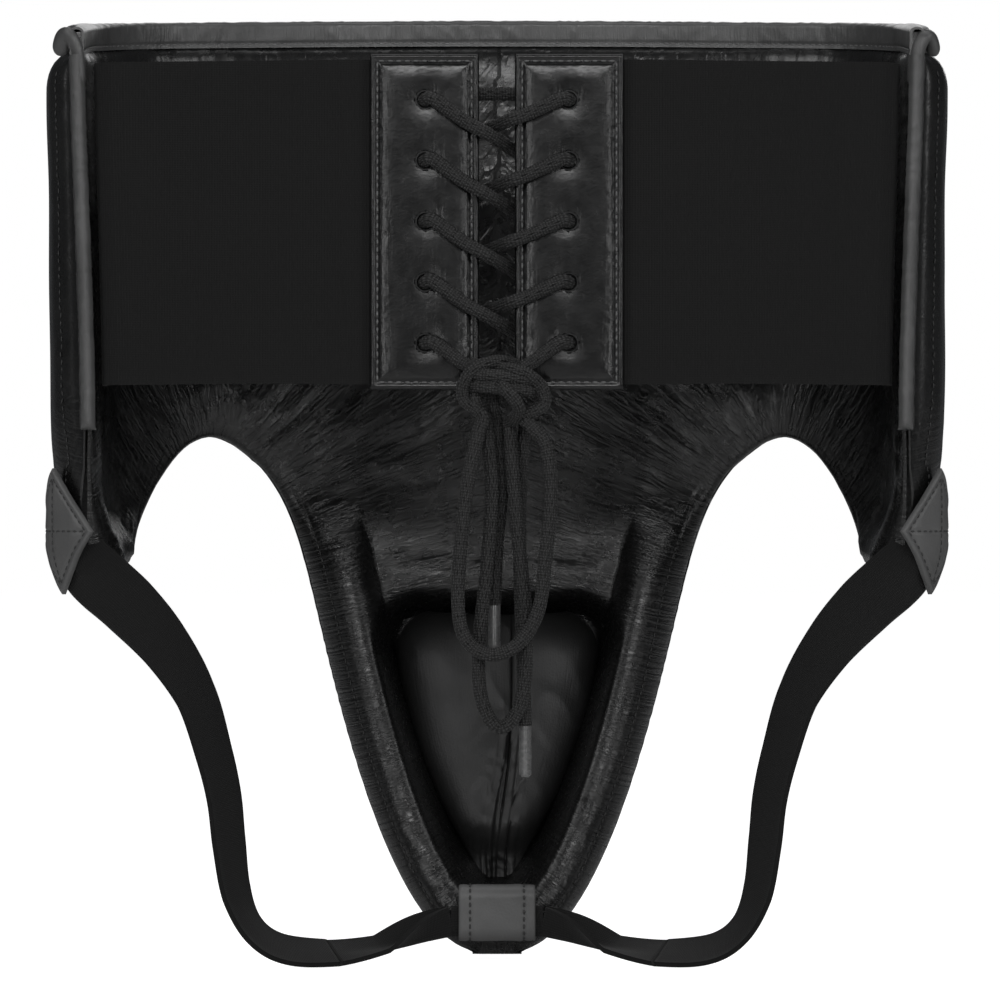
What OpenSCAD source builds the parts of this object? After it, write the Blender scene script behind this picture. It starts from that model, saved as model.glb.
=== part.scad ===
// Groin protector: a padded waist with hip wings, a cup, leg straps and a laced elastic back.
// Millimetres. +Z is up, +Y is the padded front, -Y the laced back.
// The origin is the middle of the waist opening, halfway up the elastic band.
// Heights named _z below are measured from the tip of the cup.

/* [Waist pad] */
// Half width of the waist opening between the hip wings, inside
hip_half_w = 163; // [140:1:200]
// From the middle of the waist opening to the lining at the front
front_depth = 72; // [60:1:95]
// From the middle of the waist opening to the rear ends of the wings
wing_reach = 62; // [50:1:80]
// How far each wing end curls in from the hip
wing_curl = 6; // [0:1:12]
// Height of the arch over the leg
arch_z = 211; // [190:1:240]
// Height of the lower edge of the hips
hip_low_z = 151; // [130:1:175]
// Height of the lower end of the wing's rear edge
wing_low_z = 214; // [200:1:225]
// Height of the top edge at the wings
top_z = 369; // [350:1:440]
// How much higher the top edge is at the front than at the wings
front_rise = 14; // [0:1:25]
// Padding thickness at the front
front_pad_t = 38; // [25:1:55]
// Padding thickness at the hips
hip_pad_t = 16.4; // [12:0.2:24]
// Thickness of the pad under its binding
bound_edge_t = 7; // [6:0.5:9]
// How far the binding reaches onto the pad
binding_w = 9; // [7:0.5:12]

/* [Cup] */
// Half width of the cup where it leaves the waist pad
cup_half_w = 86; // [70:1:104]
// How much further each side flares where it meets the leg arch
cup_flare = 11; // [4:1:16]
// How far the tip of the cup is swept backwards
cup_sweep = 55; // [30:1:70]
// Padding thickness at the cup
cup_pad_t = 46; // [42:1:60]
// How much the cup bulges forward in its middle
cup_bulge = 9; // [0:1:20]
// Depth of the hollow behind the cup
hollow_depth = 24; // [12:1:28]
// Height of the padded roll around the hollow
roll_h = 13; // [6:1:18]
// Wall of the rigid cup
cup_wall = 3; // [2:0.5:4]
// Thickness of the leather
leather_t = 1.4; // [1:0.1:2]
// Gap left between layers that lie on each other
layer_gap = 0.3; // [0.2:0.05:0.5]

/* [Laced back] */
// Height of the elastic band
band_h = 127; // [100:1:134]
// Height of the lower edge of the elastic band
band_low_z = 230; // [226:1:240]
// Thickness of the elastic band
band_t = 2; // [1.5:0.1:2.6]
// How far the back bows out behind the ends of the wings
back_bow = 16; // [8:1:30]
// Width of each lacing panel
panel_w = 42.5; // [38:0.5:50]
// Thickness of each lacing panel's leather
panel_t = 2.6; // [2:0.1:3.4]
// Gap between the two lacing panels
lacing_gap = 14; // [12:1:30]
// Eyelets in each lacing panel
eyelet_count = 5; // [3:1:5]
// Distance between one eyelet and the next
eyelet_pitch = 23.7; // [19:0.1:25]
// From the panel's inner edge to the eyelets
eyelet_inset = 21; // [14:1:26]
// Radius of the hole through an eyelet
eyelet_hole_r = 2.9; // [2.8:0.05:3.5]
// Diameter of the lace
lace_d = 5.4; // [4:0.1:5.4]

/* [Leg straps] */
// Width of the leg strap's webbing
strap_w = 25.4; // [20:0.2:31]
// Thickness of the webbing
strap_t = 1.8; // [1.2:0.1:2.2]
// Diagonal of the square patch that holds the strap at the hip
patch_diagonal = 50; // [41:1:56]
// Width of the loop at the tip of the cup
loop_w = 31; // [26:1:37]
// Height of the loop
loop_h = 23; // [19:1:26]

/* [Hidden] */

origin_z = band_low_z + band_h / 2;
plan_power = 2.6; // roundness of the waist in plan
join_z = arch_z - 13; // where the cup leaves the waist pad
join_w = cup_half_w + cup_flare;
tip_half_w = 10;
sweep_power = 1.6; // how suddenly the cup turns backwards towards its tip
pad_round = 22; // how far from an edge the pad reaches its full thickness
seam_t = 2 * leather_t + layer_gap; // the pad at an edge sewn without a binding
belly = 4; // how far the pad swells towards the wearer
edge_run = 12; // from an open edge to where the pad is as thick as under its binding
roll_from_edge = 15;
roll_spread = 9;
hollow_from_edge = 24;
hollow_top_z = join_z - 54;
shell_level = hollow_depth + leather_t + 3;
shell_from_edge = 7;
foam_from_edge = 3;
front_share = 0.65; // share of the hip's length that lies ahead of its widest place
bound_w = binding_w + 2 * layer_gap;

// Grid that all the padded layers share
cup_cols = 26;
hip_cols = 14;
cup_rows = 18;
belt_rows = 12;
cols = cup_cols + 2 * hip_cols;
rows = cup_rows + belt_rows;

function mix(a, b, t) = a + (b - a) * t;
function clamp01(t) = max(0, min(1, t));
function smooth(a, b, x) = let (t = clamp01((x - a) / (b - a))) t * t * (3 - 2 * t);
function rounded(t) = let (k = 1 - clamp01(t)) sqrt(1 - k * k);
function sign_of(x) = x < 0 ? -1 : 1;
function unit(v) = v / norm(v);
function hump(x, middle, spread) = exp(-pow((x - middle) / spread, 2));
function sum(v, i = 0) = i == len(v) ? 0 : v[i] + sum(v, i + 1);

// Waist in plan: a rounded front, then the wings running back and curling in
function front_y(x) =
    front_depth * pow(1 - pow(abs(x) / hip_half_w, plan_power), 1 / plan_power);
function front_point(q) = [
    hip_half_w * pow(sin(90 * q), 2 / plan_power),
    q >= 1 ? 0 : front_depth * pow(cos(90 * q), 2 / plan_power)
];
function front_normal(p) = unit([
    pow(p.x / hip_half_w, plan_power - 1) / hip_half_w,
    pow(max(p.y, 0) / front_depth, plan_power - 1) / front_depth
]);
join_q = asin(pow(join_w / hip_half_w, plan_power / 2)) / 90;
function wing_share(h) = (h - front_share) / (1 - front_share);
function hip_point(h) = h < front_share
    ? front_point(mix(join_q, 1, h / front_share))
    : let (k = wing_share(h)) [hip_half_w - wing_curl * k * k, -wing_reach * k];
function hip_normal(h) = h < front_share
    ? front_normal(hip_point(h))
    : unit([wing_reach, -2 * wing_curl * wing_share(h)]);
hip_steps = 40;
hip_len = sum([
    for (k = [0 : hip_steps - 1])
        norm(hip_point((k + 1) / hip_steps) - hip_point(k / hip_steps))
]);
wing_u = join_w + hip_len;

// Outline of the pad, unrolled: u runs round the waist, z up from the tip
arch_h = 0.115; // share of the hip's length at the top of the arch
flat_h = 0.5; // where the hip's lower edge levels out
wing_h = 0.84; // where it turns up to the wing's rear edge
hip_low_rise = 4;
cup_round = 0.42; // below 1 the cup's sides bow outwards
flare_start = 12; // the higher, the closer the flare stays to the leg arch
function cup_w(z) = let (t = clamp01(z / join_z))
    max(tip_half_w, cup_half_w * pow(t, cup_round) + cup_flare * pow(t, flare_start));
function low_z(h) =
    h < arch_h ? mix(join_z, arch_z, sin(90 * h / arch_h))
    : h < flat_h ? mix(hip_low_z + hip_low_rise, arch_z,
                       0.5 + 0.5 * cos(180 * (h - arch_h) / (flat_h - arch_h)))
    : h < wing_h ? mix(hip_low_z + hip_low_rise, hip_low_z, (h - flat_h) / (wing_h - flat_h))
    : mix(hip_low_z, wing_low_z, smooth(wing_h, 1, h));
function high_z(u) = top_z + front_rise * pow(cos(90 * clamp01(abs(u) / wing_u)), 2);

// Columns and rows of the grid. The last ones lie along the bindings.
function is_cup_col(i) = i >= hip_cols && i <= hip_cols + cup_cols;
function cup_c(i) = -cos(180 * (i - hip_cols) / cup_cols);
function hip_h(i) =
    let (m = i < hip_cols ? hip_cols - i : i - hip_cols - cup_cols)
    m == hip_cols ? 1 : m / (hip_cols - 1) * (1 - bound_w / hip_len);
function cup_z(j) = join_z * pow(j / cup_rows, 1.3);
function grid_u(i, j) = is_cup_col(i)
    ? cup_c(i) * cup_w(j < cup_rows ? cup_z(j) : join_z)
    : (i < hip_cols ? -1 : 1) * (join_w + hip_len * hip_h(i));
function grid_z(i, j) = j < cup_rows ? cup_z(j)
    : j == rows ? high_z(grid_u(i, j))
    : let (k = (j - cup_rows) / (belt_rows - 1))
      mix(is_cup_col(i) ? join_z : low_z(hip_h(i)), high_z(grid_u(i, j)) - bound_w,
          (1 - cos(180 * k)) / 2);

// Lining before it is padded, and the direction in which the padding grows
function base_point(i, j) = let (u = grid_u(i, j), z = grid_z(i, j))
    is_cup_col(i)
    ? [u, front_y(u) - cup_sweep * pow(clamp01(1 - z / join_z), sweep_power), z]
    : let (p = hip_point(hip_h(i))) [sign_of(u) * p.x, p.y, z];
function base_normal(i, j) = let (u = grid_u(i, j),
                                  n = is_cup_col(i) ? front_normal([abs(u), front_y(u)])
                                                    : hip_normal(hip_h(i)))
    [sign_of(u) * n.x, n.y, 0];

open_edge = concat(
    [for (i = [0 : hip_cols]) [grid_u(i, cup_rows), grid_z(i, cup_rows)]],
    [for (j = [0 : cup_rows]) [-cup_w(cup_z(j)), cup_z(j)]],
    [for (i = [hip_cols : hip_cols + cup_cols]) [grid_u(i, 0), 0]],
    [for (j = [0 : cup_rows]) [cup_w(cup_z(j)), cup_z(j)]],
    [for (i = [hip_cols + cup_cols : cols]) [grid_u(i, cup_rows), grid_z(i, cup_rows)]]
);
function from_open_edge(u, z) = min([for (p = open_edge) norm([u, z] - p)]);
function fullness(u, z, e) =
    rounded(e / pad_round)
    * rounded(max(0, high_z(u) - z - bound_w) / pad_round)
    * rounded(max(0, wing_u - abs(u) - bound_w) / pad_round);
function lining_level(u, z, e, full) =
    -belly * full
    - roll_h * hump(e, roll_from_edge, roll_spread) * (1 - smooth(join_z - 48, join_z - 8, z))
    + (hollow_depth + belly) * smooth(hollow_from_edge - 4, hollow_from_edge + 5, e)
      * (1 - smooth(hollow_top_z - 6, hollow_top_z + 6, z)) * (abs(u) < join_w ? 1 : 0);
function outer_level(u, z, e, full) =
    let (
        cup = (1 - smooth(join_z - 30, join_z + 30, z))
              * (1 - smooth(join_w - 12, join_w + 12, abs(u))),
        waist_t = mix(front_pad_t, hip_pad_t, smooth(70, 190, abs(u))),
        bulge = cup_bulge * hump(z, join_z / 2, 55) * hump(u, 0, 40),
        near_wing = smooth(wing_u - 2 * bound_w, wing_u - bound_w, abs(u)),
        edge_t = mix(seam_t, bound_edge_t, max(clamp01(e / edge_run), near_wing))
    )
    mix(edge_t, mix(waist_t, cup_pad_t, cup) + bulge, full);

grid = [
    for (i = [0 : cols]) [
        for (j = [0 : rows])
            let (
                u = grid_u(i, j),
                z = grid_z(i, j),
                e = from_open_edge(u, z),
                full = fullness(u, z, e)
            )
            [base_point(i, j), base_normal(i, j), lining_level(u, z, e, full),
             outer_level(u, z, e, full), e]
    ]
];
function at(i, j, level) = grid[i][j][0] + grid[i][j][1] * level;
function lining_at(i, j) = grid[i][j][2];
function outer_at(i, j) = grid[i][j][3];
function edge_at(i, j) = grid[i][j][4];
function corner_z(i, j) = grid[i][j][0].z;

module in_frame() {
    translate([0, 0, -origin_z]) children();
}

// Layer of the pad between two levels, over the cells of the grid that has() picks
module layer(low, high, has) {
    n = (cols + 1) * (rows + 1);
    function id(i, j, k) = k * n + i * (rows + 1) + j;
    function cell(i, j) = i >= 0 && j >= 0 && i < cols && j < rows && has(i, j);
    function wall(a, b) = [[a[0], a[1], b[1]], [a[0], b[1], b[0]]];
    function pair(i, j) = [id(i, j, 0), id(i, j, 1)];
    points = [
        for (k = [0, 1]) for (i = [0 : cols]) for (j = [0 : rows])
            at(i, j, k == 0 ? low(i, j) : high(i, j))
    ];
    faces = [
        for (i = [0 : cols - 1]) for (j = [0 : rows - 1]) if (cell(i, j))
            each concat(
                [[id(i, j, 0), id(i, j + 1, 0), id(i + 1, j + 1, 0)],
                 [id(i, j, 0), id(i + 1, j + 1, 0), id(i + 1, j, 0)],
                 [id(i, j, 1), id(i + 1, j + 1, 1), id(i, j + 1, 1)],
                 [id(i, j, 1), id(i + 1, j, 1), id(i + 1, j + 1, 1)]],
                cell(i - 1, j) ? [] : wall(pair(i, j), pair(i, j + 1)),
                cell(i + 1, j) ? [] : wall(pair(i + 1, j + 1), pair(i + 1, j)),
                cell(i, j - 1) ? [] : wall(pair(i + 1, j), pair(i, j)),
                cell(i, j + 1) ? [] : wall(pair(i, j + 1), pair(i + 1, j + 1))
            )
    ];
    in_frame() polyhedron(points, faces, convexity = 8);
}

// Skin between rings of points that run right-handed about the way the rings follow each other
module loft(rings) {
    n = len(rings[0]);
    last = (len(rings) - 1) * n;
    faces = concat(
        [[for (m = [0 : n - 1]) m]],
        [for (k = [0 : len(rings) - 2]) for (m = [0 : n - 1])
            let (a = k * n + m, b = k * n + (m + 1) % n)
            each [[a, b + n, b], [a, a + n, b + n]]],
        [[for (m = [n - 1 : -1 : 0]) last + m]]
    );
    polyhedron([for (r = rings) each r], faces, convexity = 8);
}

// Which cells of the grid a piece covers
function in_pad(i, j) = j >= cup_rows || (i >= hip_cols && i < hip_cols + cup_cols);
function in_cup(i, j) = j >= 0 && j < cup_rows && i >= hip_cols && i < hip_cols + cup_cols;
function in_front(i, j) = j >= cup_rows && i >= hip_cols && i < hip_cols + cup_cols;
function in_hip(i, j, side) =
    j >= cup_rows && (side < 0 ? i < hip_cols : i >= hip_cols + cup_cols);
function least_edge(i, j) = min([for (a = [0, 1]) for (b = [0, 1]) edge_at(i + a, j + b)]);
function in_hollow(i, j) =
    in_cup(i, j) && least_edge(i, j) > hollow_from_edge + 4 && corner_z(i, j + 1) < hollow_top_z - 6;
function in_shell(i, j) =
    in_cup(i, j) && least_edge(i, j) > shell_from_edge && j < cup_rows - 3;
function unbound(i, j) = i > 0 && i < cols - 1 && j < rows - 1;
function in_foam(i, j) = unbound(i, j) && least_edge(i, j) > foam_from_edge;
function beside_shell(i, j) =
    in_shell(i, j) || in_shell(i - 1, j) || in_shell(i, j - 1) || in_shell(i - 1, j - 1);

lining_in = function (i, j) lining_at(i, j);
lining_out = function (i, j) lining_at(i, j) + leather_t;
cover_in = function (i, j) outer_at(i, j) - leather_t;
cover_out = function (i, j) outer_at(i, j);
foam_in = function (i, j) lining_at(i, j) + leather_t + layer_gap;
foam_out = function (i, j) outer_at(i, j) - leather_t - layer_gap;

module waist_panel() {
    color([0.03, 0.03, 0.03]) layer(cover_in, cover_out, function (i, j) in_front(i, j));
}

module hip_panel(side) {
    color([0.03, 0.03, 0.03]) layer(cover_in, cover_out, function (i, j) in_hip(i, j, side));
}

module cup_panel() {
    color([0.03, 0.03, 0.03]) layer(cover_in, cover_out, function (i, j) in_cup(i, j));
}

module body_lining() {
    color([0.05, 0.05, 0.05])
        layer(lining_in, lining_out, function (i, j) in_pad(i, j) && !in_hollow(i, j));
}

module cup_lining(side) {
    middle = hip_cols + cup_cols / 2;
    color([0.06, 0.06, 0.06])
        layer(lining_in, lining_out,
              function (i, j) in_hollow(i, j) && (side < 0 ? i < middle : i >= middle));
}

module waist_foam() {
    color([0.2, 0.2, 0.21])
        layer(foam_in, foam_out, function (i, j) in_front(i, j) && in_foam(i, j));
}

module hip_foam(side) {
    color([0.2, 0.2, 0.21])
        layer(foam_in, foam_out, function (i, j) in_hip(i, j, side) && in_foam(i, j));
}

module cup_foam() {
    color([0.2, 0.2, 0.21])
        layer(function (i, j) shell_level + cup_wall + layer_gap, foam_out,
              function (i, j) in_shell(i, j));
}

module rigid_cup() {
    color([0.75, 0.76, 0.78])
        layer(function (i, j) shell_level, function (i, j) shell_level + cup_wall,
              function (i, j) in_shell(i, j));
}

module rim_roll() {
    under_shell = function (i, j)
        beside_shell(i, j) ? min(shell_level - layer_gap, foam_out(i, j)) : foam_out(i, j);
    color([0.2, 0.2, 0.21])
        layer(foam_in, under_shell,
              function (i, j) in_cup(i, j) && in_foam(i, j) && !in_hollow(i, j));
}

// Section of a folded binding: along points into the pad, across from its lining to its cover
function binding_section(edge, across, along, near, far) =
    let (
        a = near - layer_gap,
        b = far + layer_gap,
        p = function (level, depth) edge + across * level + along * depth
    )
    [
        p(a - leather_t, binding_w), p(a, binding_w), p(a, -layer_gap), p(b, -layer_gap),
        p(b, binding_w), p(b + leather_t, binding_w),
        p(b + leather_t, -layer_gap - leather_t), p(a - leather_t, -layer_gap - leather_t)
    ];

module top_binding() {
    color([0.16, 0.16, 0.17]) in_frame()
        loft([
            for (i = [0 : cols])
                binding_section(at(i, rows, 0), base_normal(i, rows), [0, 0, -1], 0, bound_edge_t)
        ]);
}

module wing_binding(side) {
    function ground(i) = [grid[i][rows][0].x, grid[i][rows][0].y, 0];
    inwards = unit(ground(1) - ground(0));
    color([0.16, 0.16, 0.17]) scale([-side, 1, 1]) in_frame()
        loft([
            for (j = [cup_rows : rows - 1])
                binding_section(at(0, j, 0), base_normal(0, j), inwards,
                                lining_at(0, j), outer_at(0, j))
        ]);
}

// Elastic band in plan, from the lacing panel to its seam inside the wing
back_y = wing_reach + back_bow;
panel_in_x = lacing_gap / 2;
panel_out_x = panel_in_x + panel_w;
band_tuck = 9; // how far the band reaches in between the panel's two leathers
wing_tuck = 14; // how far it runs forward along the inside of the wing
wing_inner_x = hip_half_w - wing_curl - leather_t - 3 * layer_gap - band_t / 2;
band_bend_x = wing_inner_x - 5;
bow_steps = 12;
band_path = concat(
    [[panel_out_x - band_tuck, -back_y]],
    [for (k = [0 : bow_steps])
        let (x = mix(panel_out_x, band_bend_x, k / bow_steps))
        [x, -back_y + (back_bow - 2) * pow(k / bow_steps, 2)]],
    [[wing_inner_x - 1.2, -wing_reach + 1.5], [wing_inner_x, -wing_reach + 6],
     [wing_inner_x, -wing_reach + wing_tuck]]
);
function path_side(path, k) =
    let (t = unit(path[min(k + 1, len(path) - 1)] - path[max(k - 1, 0)])) [-t.y, t.x];

module elastic(side) {
    offset_path = function (d)
        [for (k = [0 : len(band_path) - 1]) band_path[k] + path_side(band_path, k) * d];
    left = offset_path(band_t / 2);
    right = offset_path(-band_t / 2);
    color([0.1, 0.1, 0.1]) translate([0, 0, -band_h / 2])
        linear_extrude(band_h)
            scale([side, 1])
                polygon(concat(left, [for (k = [len(right) - 1 : -1 : 0]) right[k]]));
}

// Lacing panels, their backing and the eyelets through both
panel_over = 2; // how far a panel overlaps the band above and below
panel_h = band_h + 2 * panel_over;
panel_face_y = -back_y - band_t / 2 - 0.1; // where the panel meets its backing
panel_out_y = panel_face_y - panel_t;
backing_t = leather_t - 0.2;
panel_in_y = -back_y + band_t / 2 + 0.1 + backing_t;
eyelet_x = panel_in_x + eyelet_inset;
eyelet_wall = 0.5;
flange_w = 0.9;
flange_t = 0.7;
barrel_r = eyelet_hole_r + eyelet_wall;
hole_clearance = 0.05;
function eyelet_z(k) = ((eyelet_count - 1) / 2 - k) * eyelet_pitch;

module eyelet_holes(side) {
    for (k = [0 : eyelet_count - 1])
        translate([side * eyelet_x, panel_in_y + 5, eyelet_z(k)])
            rotate([90, 0, 0]) cylinder(r = barrel_r + hole_clearance, h = 30, $fn = 48);
}

module panel_plate(side, y_from, y_to, x_from, x_to) {
    translate([side > 0 ? x_from : -x_to, y_from, -panel_h / 2])
        cube([x_to - x_from, y_to - y_from, panel_h]);
}

module lacing_panel(side) {
    color([0.02, 0.02, 0.02]) difference() {
        panel_plate(side, panel_out_y, panel_face_y, panel_in_x, panel_out_x);
        eyelet_holes(side);
    }
}

module panel_backing(side) {
    band_slot = band_tuck + 1;
    color([0.05, 0.05, 0.05]) difference() {
        panel_plate(side, panel_face_y, panel_in_y, panel_in_x, panel_out_x);
        panel_plate(side, panel_face_y - 1, panel_in_y - backing_t, panel_out_x - band_slot,
                    panel_out_x + 1);
        eyelet_holes(side);
    }
}

module eyelets(side) {
    barrel_end = panel_in_y + flange_t;
    color([0.04, 0.04, 0.04])
        for (k = [0 : eyelet_count - 1])
            translate([side * eyelet_x, panel_out_y, eyelet_z(k)]) rotate([-90, 0, 0])
                rotate_extrude($fn = 48)
                    polygon([
                        [eyelet_hole_r, -0.3], [eyelet_hole_r + 0.4, -flange_t],
                        [barrel_r + flange_w - 0.5, -flange_t], [barrel_r + flange_w, 0],
                        [barrel_r, 0], [barrel_r, barrel_end - panel_out_y],
                        [eyelet_hole_r, barrel_end - panel_out_y]
                    ]);
}

module eyelet_washers(side) {
    color([0.04, 0.04, 0.04])
        for (k = [0 : eyelet_count - 1])
            translate([side * eyelet_x, panel_in_y + flange_t, eyelet_z(k)]) rotate([90, 0, 0])
                difference() {
                    cylinder(r = barrel_r + 1.6, h = flange_t, $fn = 48);
                    translate([0, 0, -1])
                        cylinder(r = barrel_r + hole_clearance, h = flange_t + 2, $fn = 48);
                }
}

// Round cord swept along its route with rings that don't twist
cord_sides = 8;
function tangent(route, k) =
    unit(route[min(k + 1, len(route) - 1)] - route[max(k - 1, 0)]);
function square_to(v, t) = unit(v - t * (v * t));
function cord_rings(route, d) = [
    for (
        k = 0, t = tangent(route, 0), side = square_to([0.3, 0.2, 0.9], t);
        k < len(route);
        k = k + 1, t = k < len(route) ? tangent(route, k) : t, side = square_to(side, t)
    )
        let (up = cross(t, side))
        [for (m = [0 : cord_sides - 1])
            let (a = 360 * m / cord_sides) route[k] + (side * cos(a) + up * sin(a)) * d / 2]
];

module cord(route, d) {
    color([0.03, 0.03, 0.03]) loft(cord_rings(route, d));
}

// Lace through the eyelets: out of one, over the gap, under the other panel and out again
lace_lift = lace_d / 2 + 0.2;
lace_out_y = panel_out_y - lace_lift;
lace_in_y = panel_in_y + lace_lift;
gap_edge_x = panel_in_x - 1.5;
half_join = 0.5; // from the middle to where the two halves of the lace meet
bar_rise = 3; // how far the straight bar runs above the top eyelets
knot_at = [0, panel_out_y - 8.2, -band_h / 2 - 2];
over_fall = 1.3; // how steeply the strand that lies on top falls, against a straight line
under_fall = 0.83; // and the strand below it
over_lift = 0.85; // how far the strand on top stands out in the gap, as a share of lace_lift
under_lift = 0.4; // how far the other one lies in
function crossing(side, k) =
    let (
        fall = (side < 0 ? over_fall : under_fall) / 2 / eyelet_x,
        lift = (side < 0 ? -over_lift : under_lift) * lace_lift,
        z_at = function (x) mix(eyelet_z(k), eyelet_z(k + 1), fall * (x + eyelet_x))
    )
    [
        [side * gap_edge_x, lace_out_y, z_at(-gap_edge_x)],
        [0, (lace_out_y + lace_in_y) / 2 + lift, z_at(0)],
        [-side * gap_edge_x, lace_in_y, z_at(gap_edge_x)],
        [-side * eyelet_x, lace_in_y + flange_t, eyelet_z(k + 1)],
        [-side * eyelet_x, lace_out_y - flange_t, eyelet_z(k + 1)]
    ];
function side_at(side, k) = side * (k % 2 == 0 ? 1 : -1);
function lace_route(side) =
    let (last = eyelet_count - 1, end = side_at(side, last))
    concat(
        [[side * half_join, lace_in_y, eyelet_z(0) + bar_rise],
         [side * eyelet_x, lace_in_y + flange_t, eyelet_z(0)],
         [side * eyelet_x, lace_out_y - flange_t, eyelet_z(0)]],
        [for (k = [0 : last - 1]) each crossing(side_at(side, k), k)],
        [[end * 15.5, knot_at.y + 1, knot_at.z + 10]]
    );

module lace_run(side) {
    cord(lace_route(side), lace_d);
}

// Knot of the bow, below the last eyelets
knot_r = 7.6;

module lace_knot() {
    color([0.03, 0.03, 0.03]) translate(knot_at)
        hull() {
            translate([-8, 0, 4]) sphere(r = knot_r, $fn = 32);
            translate([8, 0, 4]) sphere(r = knot_r, $fn = 32);
            translate([-5, 0, -5]) sphere(r = knot_r, $fn = 32);
            translate([6, 0, -5]) sphere(r = knot_r, $fn = 32);
        }
}

// Free cords of the bow, measured from the middle of the knot
upper_loop_route = [
    [-7, -5, -16], [-11, -6, -35], [-14, -6, -60], [-15, -6, -84], [-12, -6, -97],
    [-3, -6, -103], [8, -6, -99], [16, -6, -86], [19, -6, -64], [21, -6, -40],
    [19, -6, -22], [13, -5, -14]
];
lower_loop_route = [
    [-4, 1, -16], [-2, 0, -40], [-4, 0, -70], [-7, 0, -100], [-6, 0, -120],
    [0, 0, -131], [7, 0, -127], [11, 0, -112], [11, 0, -85], [8, 0, -55],
    [6, 0, -30], [5, 1, -16]
];
long_tail_route = [[11, 6, -14], [9, 6, -40], [9, 6, -70], [10, 6, -100], [11, 6, -131]];
short_tail_route = [[0, 6, -16], [2, 6, -36], [0, 6, -60], [-1, 6, -84]];
aglet_d = 4.8;
aglet_len = 20;

module free_cord(route) {
    translate(knot_at) cord(route, lace_d);
}

module aglet(route) {
    color([0.25, 0.25, 0.27]) translate(knot_at + route[len(route) - 1])
        rotate([180, 0, 0])
            rotate_extrude($fn = 32)
                polygon([[0, 0.1], [aglet_d / 2, 0.1], [aglet_d / 2, aglet_len - 1],
                         [aglet_d / 2 - 1, aglet_len], [0, aglet_len]]);
}

// Point of the pad's outer face, on the grid's own facets
function hip_index(u) = (abs(u) - join_w) / hip_len * (hip_cols - 1) / (1 - bound_w / hip_len);
function row_index(h, z) =
    let (t = clamp01((z - low_z(h)) / (high_z(wing_u) - bound_w - low_z(h))))
    cup_rows + (belt_rows - 1) * acos(1 - 2 * t) / 180;
function on_facets(a, b, level) =
    let (
        i = min(floor(a), cols - 1), j = min(floor(b), rows - 1), x = a - i, y = b - j,
        p = at(i, j, outer_at(i, j) + level),
        q = at(i + 1, j + 1, outer_at(i + 1, j + 1) + level),
        r = y > x ? at(i, j + 1, outer_at(i, j + 1) + level)
                  : at(i + 1, j, outer_at(i + 1, j) + level)
    )
    y > x ? p + (r - p) * y + (q - r) * x : p + (r - p) * x + (q - r) * y;

// Square patch on its corner, over the hip's outer face where the strap is sewn on
patch_z = hip_low_z + patch_diagonal / 2 - 1;
patch_u = wing_u - 30;
patch_cells = 8;
patch_gap = 3.2;

module strap_patch(side) {
    n = patch_cells + 1;
    half = patch_diagonal / 2;
    spot = function (a, b, level)
        let (
            u = patch_u + half * (a - b) / patch_cells,
            z = patch_z + half * (a + b - patch_cells) / patch_cells,
            h = (u - join_w) / hip_len,
            z_on_pad = max(z, low_z(h) + 1)
        )
        on_facets(hip_cols + cup_cols + hip_index(u), row_index(h, z_on_pad), level)
        - [0, 0, z_on_pad - z];
    points = [
        for (k = [0, 1]) for (a = [0 : patch_cells]) for (b = [0 : patch_cells])
            spot(a, b, patch_gap + k * leather_t)
    ];
    function id(a, b, k) = k * n * n + a * n + b;
    rim = concat(
        [for (a = [0 : patch_cells - 1]) [a, 0]],
        [for (b = [0 : patch_cells - 1]) [patch_cells, b]],
        [for (a = [patch_cells : -1 : 1]) [a, patch_cells]],
        [for (b = [patch_cells : -1 : 1]) [0, b]]
    );
    faces = concat(
        [for (a = [0 : patch_cells - 1]) for (b = [0 : patch_cells - 1])
            each [
                [id(a, b, 0), id(a + 1, b + 1, 0), id(a + 1, b, 0)],
                [id(a, b, 0), id(a, b + 1, 0), id(a + 1, b + 1, 0)],
                [id(a, b, 1), id(a + 1, b, 1), id(a + 1, b + 1, 1)],
                [id(a, b, 1), id(a + 1, b + 1, 1), id(a, b + 1, 1)]
            ]],
        [for (m = [0 : len(rim) - 1])
            let (p = rim[m], q = rim[(m + 1) % len(rim)])
            each [[id(p[0], p[1], 0), id(q[0], q[1], 0), id(q[0], q[1], 1)],
                  [id(p[0], p[1], 0), id(q[0], q[1], 1), id(p[0], p[1], 1)]]]
    );
    color([0.24, 0.24, 0.25]) scale([side, 1, 1]) in_frame() polyhedron(points, faces, convexity = 4);
}

// Loop at the tip and the strap that runs folded through it
loop_mid_z = loop_h / 2 + 6.5;
loop_depth = 11;
loop_gap = 2.4; // between the loop and the tip of the lining
tip_y = front_depth - cup_sweep * pow(1 - loop_mid_z / join_z, sweep_power)
    + lining_level(0, loop_mid_z, loop_mid_z, fullness(0, loop_mid_z, loop_mid_z));
loop_y = tip_y - loop_depth / 2 - loop_gap;
fold_r = 2.2;
fold_leg = (strap_w - PI * fold_r) / 2;
fold_z = loop_mid_z - loop_h / 2 + leather_t + layer_gap + fold_r + strap_t / 2;

module racetrack(depth, height) {
    r = depth / 2;
    hull_h = height - depth;
    union() {
        square([depth, hull_h], center = true);
        for (s = [-1, 1]) translate([0, s * hull_h / 2]) circle(r = r, $fn = 48);
    }
}

module crotch_loop() {
    color([0.24, 0.24, 0.25]) in_frame()
        translate([-loop_w / 2, loop_y, loop_mid_z]) rotate([90, 0, 90])
            linear_extrude(loop_w)
                difference() {
                    racetrack(loop_depth, loop_h);
                    racetrack(loop_depth - 2 * leather_t, loop_h - 2 * leather_t);
                }
}

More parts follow.
